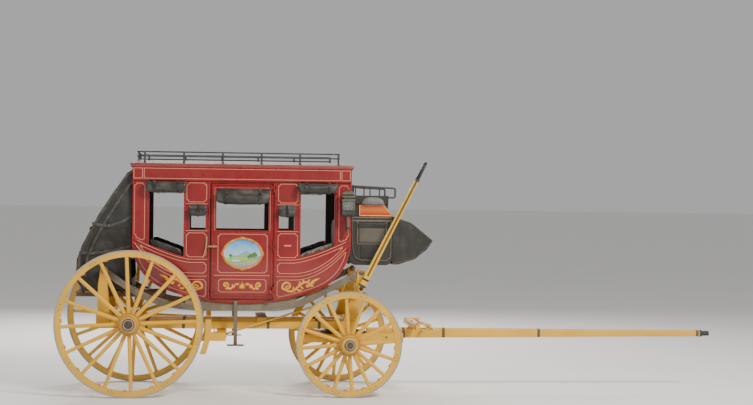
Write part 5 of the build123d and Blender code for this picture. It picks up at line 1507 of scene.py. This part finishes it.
def dash_folds(p, n):
    x, z = p.x - mid_x, p.z
    reach = clamped((x - 1.66) / 0.25) * clamped((2.06 - x) / 0.2)
    wave = sin((x + 0.10 * (z - 1.7)) * 62 + 1.5 * noise.noise(p * 4)) * 0.0022 * reach
    soft = 0.0032 * noise.noise(p * 7) - 0.003
    return Vector((0, n.y, 0)) * (wave + soft) + n * 0.0008 * noise.noise(p * 40)


def boot_folds(p, n):
    x, z = p.x - mid_x, p.z
    low = clamped((1.95 - z) / 0.7)
    drape = sin((x * 0.9 + z * 0.55) * 34 + 2.4 * noise.noise(p * 3.1)) * 0.0055 * (0.25 + 0.75 * low)
    soft = 0.007 * noise.noise(p * 5.5) - 0.005
    return n * (drape + soft) + n * 0.0012 * noise.noise(p * 38)


dash = creased("dash_leather", "dash_cover", 0.007, dash_folds)
cover = creased("rear_boot_leather", "boot_cover", 0.010, boot_folds)

dash_edge = [(1.650, 1.948), (1.853, 1.885), (2.096, 1.690), (1.898, 1.490), (1.650, 1.434)]
pipes = [tube(fine(rounded([at(x, side * 0.494, z) for x, z in dash_edge], 0.03, 6), 0.04), 0.0075, 8)
         for side in (-1, 1)]
piece("dash_piping", pipes, strap_leather, "coach")


def hang_y(z, side):
    """The rear leather's half width at a height."""
    return side * (0.478 + 0.122 * clamped((z - 1.400) / 0.420) + 0.004)


def loop_of(centre, across, down, half_across, half_down, r):
    """A buckle's frame: a closed loop of round iron."""
    return tube([centre + across * (i * half_across) + down * (j * half_down)
                 for i, j in ((-1, -1), (1, -1), (1, 1), (-1, 1))], r, 8, closed=True)


body_back_x = -1.185
back_edge = [(-1.185, 2.428), (-1.280, 2.335), (-1.438, 2.100), (-1.560, 1.900), (-1.668, 1.700),
             (-1.755, 1.500), (-1.772, 1.300), (-1.700, 1.150)]
straps, buckles = [], []
for side in (-1, 1):
    rolled = fine([at(x + 0.020, hang_y(z, side) - side * 0.012, z - 0.004) for x, z in back_edge], 0.05)
    bump = [p + Vector((0.003 * noise.noise(p * 13), 0, 0.003 * noise.noise(p * 11))) for p in rolled]
    straps.append(tube(bump, lambda t: 0.019 * (0.9 + 0.1 * sin(t * 40)), 12))
    second = fine([at(x + 0.100, hang_y(z, side), z - 0.030) for x, z in back_edge[1:-1]], 0.05)
    straps.append(strap(second, 0.030, 0.006, (0.75, 0, 0.45)))
    for rear_x, z, drop in ((-1.60, 1.800, 0.06), (-1.74, 1.480, 0.03)):
        run = []
        for t in [k / 14 for k in range(15)]:
            up = z + 0.05 - drop * sin(pi * t) + 0.08 * t
            run.append(at(rear_x + (body_back_x - rear_x) * t, hang_y(up, side) + side * 0.001, up))
        straps.append(strap(run, 0.032, 0.006, UP))
        buckles.append(loop_of(run[6] + Vector((0, side * 0.006, 0)), Vector(ALONG), Vector(UP), 0.02, 0.024,
                               0.0035))
back_line = [(-1.243, 2.395), (-1.517, 1.980), (-1.700, 1.640), (-1.775, 1.450), (-1.775, 1.235)]
slope = Vector((-0.183, 0, -0.340)).normalized()
for y in (-0.26, 0.26):
    run = rounded([at(x - 0.006, y, z + 0.003) for x, z in back_line], 0.10, 6)
    straps.append(strap(fine(run, 0.03), 0.042, 0.006, ACROSS))
    for x, z, down in ((-1.570, 1.900, slope), (-1.784, 1.320, Vector((0, 0, -1)))):
        centre = at(x, y, z)
        buckles.append(loop_of(centre, Vector(ACROSS), down, 0.029, 0.024, 0.0038))
        buckles.append(tube([centre - down * 0.024, centre + down * 0.026], 0.0030, 8))
across = [at(-1.621, -0.588 + 1.176 * k / 30, 1.800) for k in range(31)]
straps.append(strap(across, 0.042, 0.006, slope))
piece("boot_straps", straps, strap_leather, "coach")
piece("boot_buckles", buckles, iron, "coach")


# Padded leather welts inside the large windows' slanted sills

def welt(name, points, half_out, half_up, look):
    """A stuffed leather welt along points, flattened across, with gathered ends."""
    pts = fine(points, 0.016)
    rings = []
    for i, p in enumerate(pts):
        t = i / (len(pts) - 1)
        swell = (1 - (2 * t - 1)**8) * 0.55 + 0.45
        ring = []
        for a in turn_of(18):
            lump = 1 + 0.07 * noise.noise(Vector((p.x * 16, cos(a) * 1.4, sin(a) * 1.4)))
            ring.append(p + Vector((0, half_out * swell * lump * cos(a), half_up * swell * lump * sin(a))))
        rings.append(ring)
    obj = piece(name, skin(rings), look, "coach", smooth=70)


for side_name, side in SIDES:
    # the front welts' pale flecks are painted glints
    for end_name, end, high, look in (("rear", -1, 0.046, black_leather), ("front", 1, 0.026, glint_spotted_leather)):
        line = [at(end * x, side * (side_out(z) - 0.030 - high * 0.42), z + high * 0.62) for x, z in
                ((large_near_x + 0.004, large_near_z), (large_far_x - 0.004, large_far_z))]
        welt(f"sill_welt_{end_name}_{side_name}", line, high * 0.42, high, look)


# A gathered leather pad on the side of the driver's seat, over the board

for side_name, side in SIDES:
    rings = []
    columns, low_z, back_y = 26, 2.085, side * 0.4975
    for i in range(columns + 1):
        u = -1 + 2 * i / columns
        high = 0.002 + 0.080 * sqrt(max(0.0, 1 - abs(u)**3.2))
        out = 0.004 + 0.026 * sqrt(max(0.0, 1 - u**4)) + 0.0024 * sin(i * pi / 1.6)
        ring = [at(1.430 + 0.132 * u - 0.010 * u * (1 - cos(a)), side * (0.4985 + out * cos(a)),
                   low_z + high * sin(a)) for a in [pi / 2 * k / 8 for k in range(9)]]
        rings.append([*ring, *(Vector((p.x, back_y, p.z)) for p in (ring[-1], ring[0]))])
    pad_piece = piece(f"seat_pad_{side_name}", skin(rings), grey_leather, "coach", smooth=60)


# Running gear: clips and bolts of perches, axles, timbers, pole and evener, and the steps' ribs

def band_round(low, high, place, half, proud, axis):
    """A flat iron band round a timber's box, square to one axis, at a place along it."""
    lows, highs = [v - proud for v in low], [v + proud for v in high]
    lows[axis], highs[axis] = place - half, place + half
    return block(lows, highs)


bands, bolts = [], []
perch_low, perch_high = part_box("perches")
perch_w = 0.064
for hand in (-1, 0, 1):
    middle_y = hand * (perch_high.y - perch_w / 2)
    lows = Vector((perch_low.x, middle_y - perch_w / 2, perch_low.z))
    highs = Vector((perch_high.x, middle_y + perch_w / 2, perch_high.z))
    for x in (-1.02, -0.62, 0.30, 0.86):
        bands.append(band_round(lows, highs, mid_x + x, 0.016, 0.0022, 0))
        bolts += [bolt(at(x + dx, middle_y, highs.z + 0.0020), UP, 0.0050) for dx in (-0.008, 0.008)]
piece("perch_clips", bands, clip_iron, "coach", 0.0008)
piece("perch_bolts", bolts, worn_iron, "coach")

step_low, step_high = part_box("steps")
ribs = []
for side in (-1, 1):
    outer = step_high.y if side > 0 else step_low.y
    for k in range(6):
        x = step_low.x + 0.018 + k * (step_high.x - step_low.x - 0.036) / 5
        ribs.append(block((x - 0.003, outer - side * 0.004, step_low.z + 0.0085),
                          (x + 0.003, outer - side * 0.100, step_low.z + 0.0125)))
piece("step_ribs", ribs, worn_iron, "coach", 0.0008)

for name, axle_x, low_z, high_z, inner_y, body in (
    ("front", front_axle_x, 0.505, 0.640, 0.315, "fore_carriage"),
    ("rear", rear_axle_x, 0.720, 0.870, 0.480, "coach"),
):
    bands, bolts = [], []
    lows, highs = at(axle_x - 0.060, -0.640, low_z), at(axle_x + 0.060, 0.640, high_z)
    for y in (-0.605, -inner_y, inner_y, 0.605):
        bands.append(band_round(lows, highs, y, 0.019, 0.0024, 1))
        for dx in (-0.030, 0.030):
            bolts.append(bolt(at(axle_x + dx, y, high_z + 0.0022), UP, 0.0070))
            bolts.append(bolt(at(axle_x + dx, y, low_z - 0.0022), (0, 0, -1), 0.0070))
    piece(f"{name}_axle_clips", bands, clip_iron, body, 0.0008)
    piece(f"{name}_axle_bolts", bolts, worn_iron, body)

bands, bolts = [], []
for low, high, stations in (
    ((-1.545, -0.610, 0.787), (-1.395, 0.610, 0.885), (-0.590, -0.190, 0.190, 0.590)),
    ((1.085, -0.610, 0.664), (1.235, 0.610, 0.810), (-0.590, -0.300, 0.300, 0.590)),
):
    lows, highs = at(*low), at(*high)
    for y in stations:
        bands.append(band_round(lows, highs, y, 0.015, 0.0022, 1))
        bolts += [bolt(((lows.x + highs.x) / 2 + dx, y, highs.z + 0.0020), UP, 0.0060)
                  for dx in (-0.045, 0.045)]
head = [(0, 0.030), (0.003, 0.030), (0.005, 0.019), (0.012, 0.017), (0.014, 0.012)]
for head_x, side, face in product((-1.470, 1.300), (-1, 1), (-0.052, 0.052)):
    outward = (0, side if face > 0 else -side, 0)
    bolts.append(lathe(head, at(head_x, side * (brace_y + face), brace_end_z), outward, 24))
piece("timber_clips", bands, clip_iron, "coach", 0.0008)
piece("timber_bolts", bolts, worn_iron, "coach")

bands, bolts = [], []
pole_z = 0.640
for x, half_w, half_h in ((1.842, 0.0500, 0.0560), (2.300, 0.0478, 0.0525), (3.400, 0.0415, 0.0440),
                          (5.270, 0.0322, 0.0322)):
    ring = rounded([(0, -half_w, -half_h), (0, half_w, -half_h), (0, half_w, half_h), (0, -half_w, half_h)],
                   0.014, 4, closed=True)
    rings = [[at(x + dx, p.y * (1 + out / half_w), pole_z + p.z * (1 + out / half_h)) for p in ring]
             for dx, out in ((-0.016, -0.003), (-0.016, 0.0024), (0.016, 0.0024), (0.016, -0.003))]
    bands.append(skin(rings, caps=False))
for x in (1.640, 1.760):
    bolts += [bolt(at(x, y, pole_z), UP, 0.0090) for y in (-0.0883, 0.0883)]
    bolts += [bolt(at(x, side * 0.1263, 0.594), (0, side, 0), 0.0110) for side in (-1, 1)]
piece("pole_bands", bands, clip_iron, "fore_carriage", 0.0006)
piece("futchell_bolts", bolts, worn_iron, "fore_carriage")

evener_x, evener_low, evener_high = 1.940, 0.7123, 0.7623
irons = [block(at(evener_x - 0.0226, side * 0.496, evener_low - 0.0022),
               at(evener_x + 0.0226, side * 0.517, evener_high + 0.0022)) for side in (-1, 1)]
irons += [bolt(at(evener_x, side * 0.450, (evener_low + evener_high) / 2 + dz * 0.033), (0, 0, dz), 0.0085)
          for side, dz in product((-1, 1), (-1, 1))]
piece("evener_irons", irons, worn_iron, "evener_bar", 0.0006)


# Wheels: hub bands, cap rings, spoke ferrules, felloe joints and their bolts

wheels = []
for side_name, side in SIDES:
    wheels.append((f"front_{side_name}", front_axle_x, front_wheel_r, 0.056, side, 4.2))
    wheels.append((f"rear_{side_name}", rear_axle_x, rear_wheel_r, 0.066, side, 2.5))

for name, axle_x, wheel_r, cap_r, side, phase in wheels:
    body = name.replace("_", "_wheel_")
    centre = at(axle_x, side * rim_y, wheel_r)
    out = Vector((0, side, 0))
    bands, plates, dark = [], [], []
    for y0, y1 in ((0.078, 0.0995), (-0.0945, -0.074)):
        r, ease = 0.0905, (y1 - y0) * 0.1
        bands.append(lathe([(y0, r - 0.006), (y0, r), (y0 + ease, r + 0.002), (y1 - ease, r + 0.002), (y1, r),
                            (y1, r - 0.006)], centre, out, 40))
    ring = [(0.1265, -0.010), (0.1295, -0.011), (0.1300, -0.013), (0.1300, -0.018), (0.1290, -0.020),
            (0.1265, -0.021)]
    shoulder = [(0.1000, 0.0), (0.1000, 0.004), (0.1050, 0.005), (0.1090, 0.003), (0.1100, 0.0)]
    cap_rings = [lathe([(along, cap_r + by) for along, by in rows], centre, out, 44)
                 for rows in (ring, shoulder)]
    piece(f"cap_ring_{name}", cap_rings, tyre_iron, body)
    bands += [lathe([(y, 0.108), (y, 0.1195), (y + 0.006, 0.1195), (y + 0.006, 0.105)], centre, out, 48)
              for y in (0.0305, -0.0355)]
    rim_mid = wheel_r - tyre_thick - felloe_depth / 2
    for k in range(spoke_count):
        a = radians(phase + 360 / spoke_count * k)
        ray = Vector((sin(a), 0, cos(a)))
        dark.append(lathe([(0, 0.0195), (0.009, 0.0215), (0.012, 0.0205)], centre + ray * (rim_mid - 0.0415),
                          ray, 16))
        if k % 2:
            continue
        a += radians(180 / spoke_count)
        ray = Vector((sin(a), 0, cos(a)))
        across = Vector((ray.z, 0, -ray.x))
        for hand in (-1, 1):
            joint = centre + ray * rim_mid + out * (hand * (felloe_half + 0.0008))
            dark.append(oriented_block(joint, ray, across, felloe_depth / 2, 0.0014, 0.0012))
            plates += [bolt(joint + across * s, out * hand, 0.0055) for s in (-0.032, 0.032)]
    piece(f"hub_bands_{name}", bands, wheel_shade, body)
    piece(f"felloe_bolts_{name}", plates, worn_iron, body)
    piece(f"felloe_joints_{name}", dark, wheel_shade, body)


# Brake lever: painted stripe, leather grip and foot irons

lever = "brake_lever_arm"
lever_foot = at(1.288, -0.716, 1.175)
lever_top = at(1.889, -0.716, 2.365)
lever_along = (lever_top - lever_foot).normalized()
lever_len = (lever_top - lever_foot).length
a, b = (lever_foot + lever_along * reach for reach in (0.150, lever_len - 0.020))
stripe = [strap([(a.x, y, a.z), (b.x, y, b.z)], 0.023, 0.0012, lever_along.cross(Vector(ACROSS)))
          for y in (-0.7304, -0.7016)]
piece("lever_stripe", stripe, lever_stripe_paint, lever)
irons = [oriented_block(lever_foot + lever_along * reach, lever_along, ACROSS, 0.011, 0.0158, 0.0365)
         for reach in (0.030, 0.105)]
irons.append(bolt((lever_foot.x, -0.7305, lever_foot.z), (0, -1, 0), 0.020, 0.012))
irons.append(oriented_block(lever_top - lever_along * 0.012, lever_along, ACROSS, 0.014, 0.0158, 0.0243))
piece("lever_irons", irons, iron, lever, 0.002)
grip = [(0.2035 * k / 60, 0.0222 - 0.0040 * k / 60 + (0.0008 if k % 3 == 0 else 0)) for k in range(61)]
grip[0], grip[-1] = (0, 0.0175), (0.2035, 0.0175)
piece("lever_grip", lathe(grip, lever_top + lever_along * 0.0015, lever_along, 22), black_leather, lever)


# Camera, light and finish

def floor_look():
    look = Look("floor")
    tones = look.ranged(look.noise(0.6, 3), 0.3, 0.7)
    look.colour(look.mixed(tones, (0.90, 0.885, 0.86), (0.87, 0.855, 0.83)))
    look.set(Roughness=0.85)
    return look.made


def studio():
    """The photo's camera, three soft lights and a pale floor."""
    scene = bpy.context.scene
    camera = bpy.data.objects.new("camera", bpy.data.cameras.new("camera"))
    scene.collection.objects.link(camera)
    scene.camera = camera
    camera.data.lens = 72.4
    camera.data.sensor_width = 36.0
    turn = Matrix.Rotation(radians(-6.31), 4, "Z") @ Matrix.Rotation(radians(90.13), 4, "X")
    turn = turn @ Matrix.Rotation(radians(0.70), 4, "Z")
    camera.matrix_world = Matrix.Translation((-2.0775, -17.03, 2.07)) @ turn

    reach = 900
    corners = [(-reach, -reach, 0), (reach, -reach, 0), (reach, reach, 0), (-reach, reach, 0)]
    floor = piece("floor", (corners, [(0, 1, 2, 3)]), floor_look(), None)
    for name, place, aim, size, power, colour in (
        ("key", (4.5, -9.0, 9.0), (-1.6, 0, 1.2), 3.0, 1700, (1.0, 0.955, 0.88)),
        ("fill", (-9.0, -9.0, 5.0), (-1.6, 0, 1.2), 7.0, 330, (0.90, 0.95, 1.0)),
        ("back", (-2.0, 9.0, 7.0), (-1.6, 0, 1.3), 6.0, 1100, (1.0, 0.98, 0.95)),
    ):
        light = bpy.data.objects.new(name, bpy.data.lights.new(name, "AREA"))
        scene.collection.objects.link(light)
        light.data.shape = "DISK"
        light.data.size = size
        light.data.energy = power
        light.data.color = colour
        light.location = place
        light.rotation_euler = (Vector(aim) - Vector(place)).to_track_quat("-Z", "Y").to_euler()
    world = bpy.data.worlds.new("studio")
    scene.world = world
    world.use_nodes = True
    sky = world.node_tree.nodes["Background"].inputs
    sky["Color"].default_value = (0.90, 0.905, 0.91, 1)
    sky["Strength"].default_value = 0.50


studio()
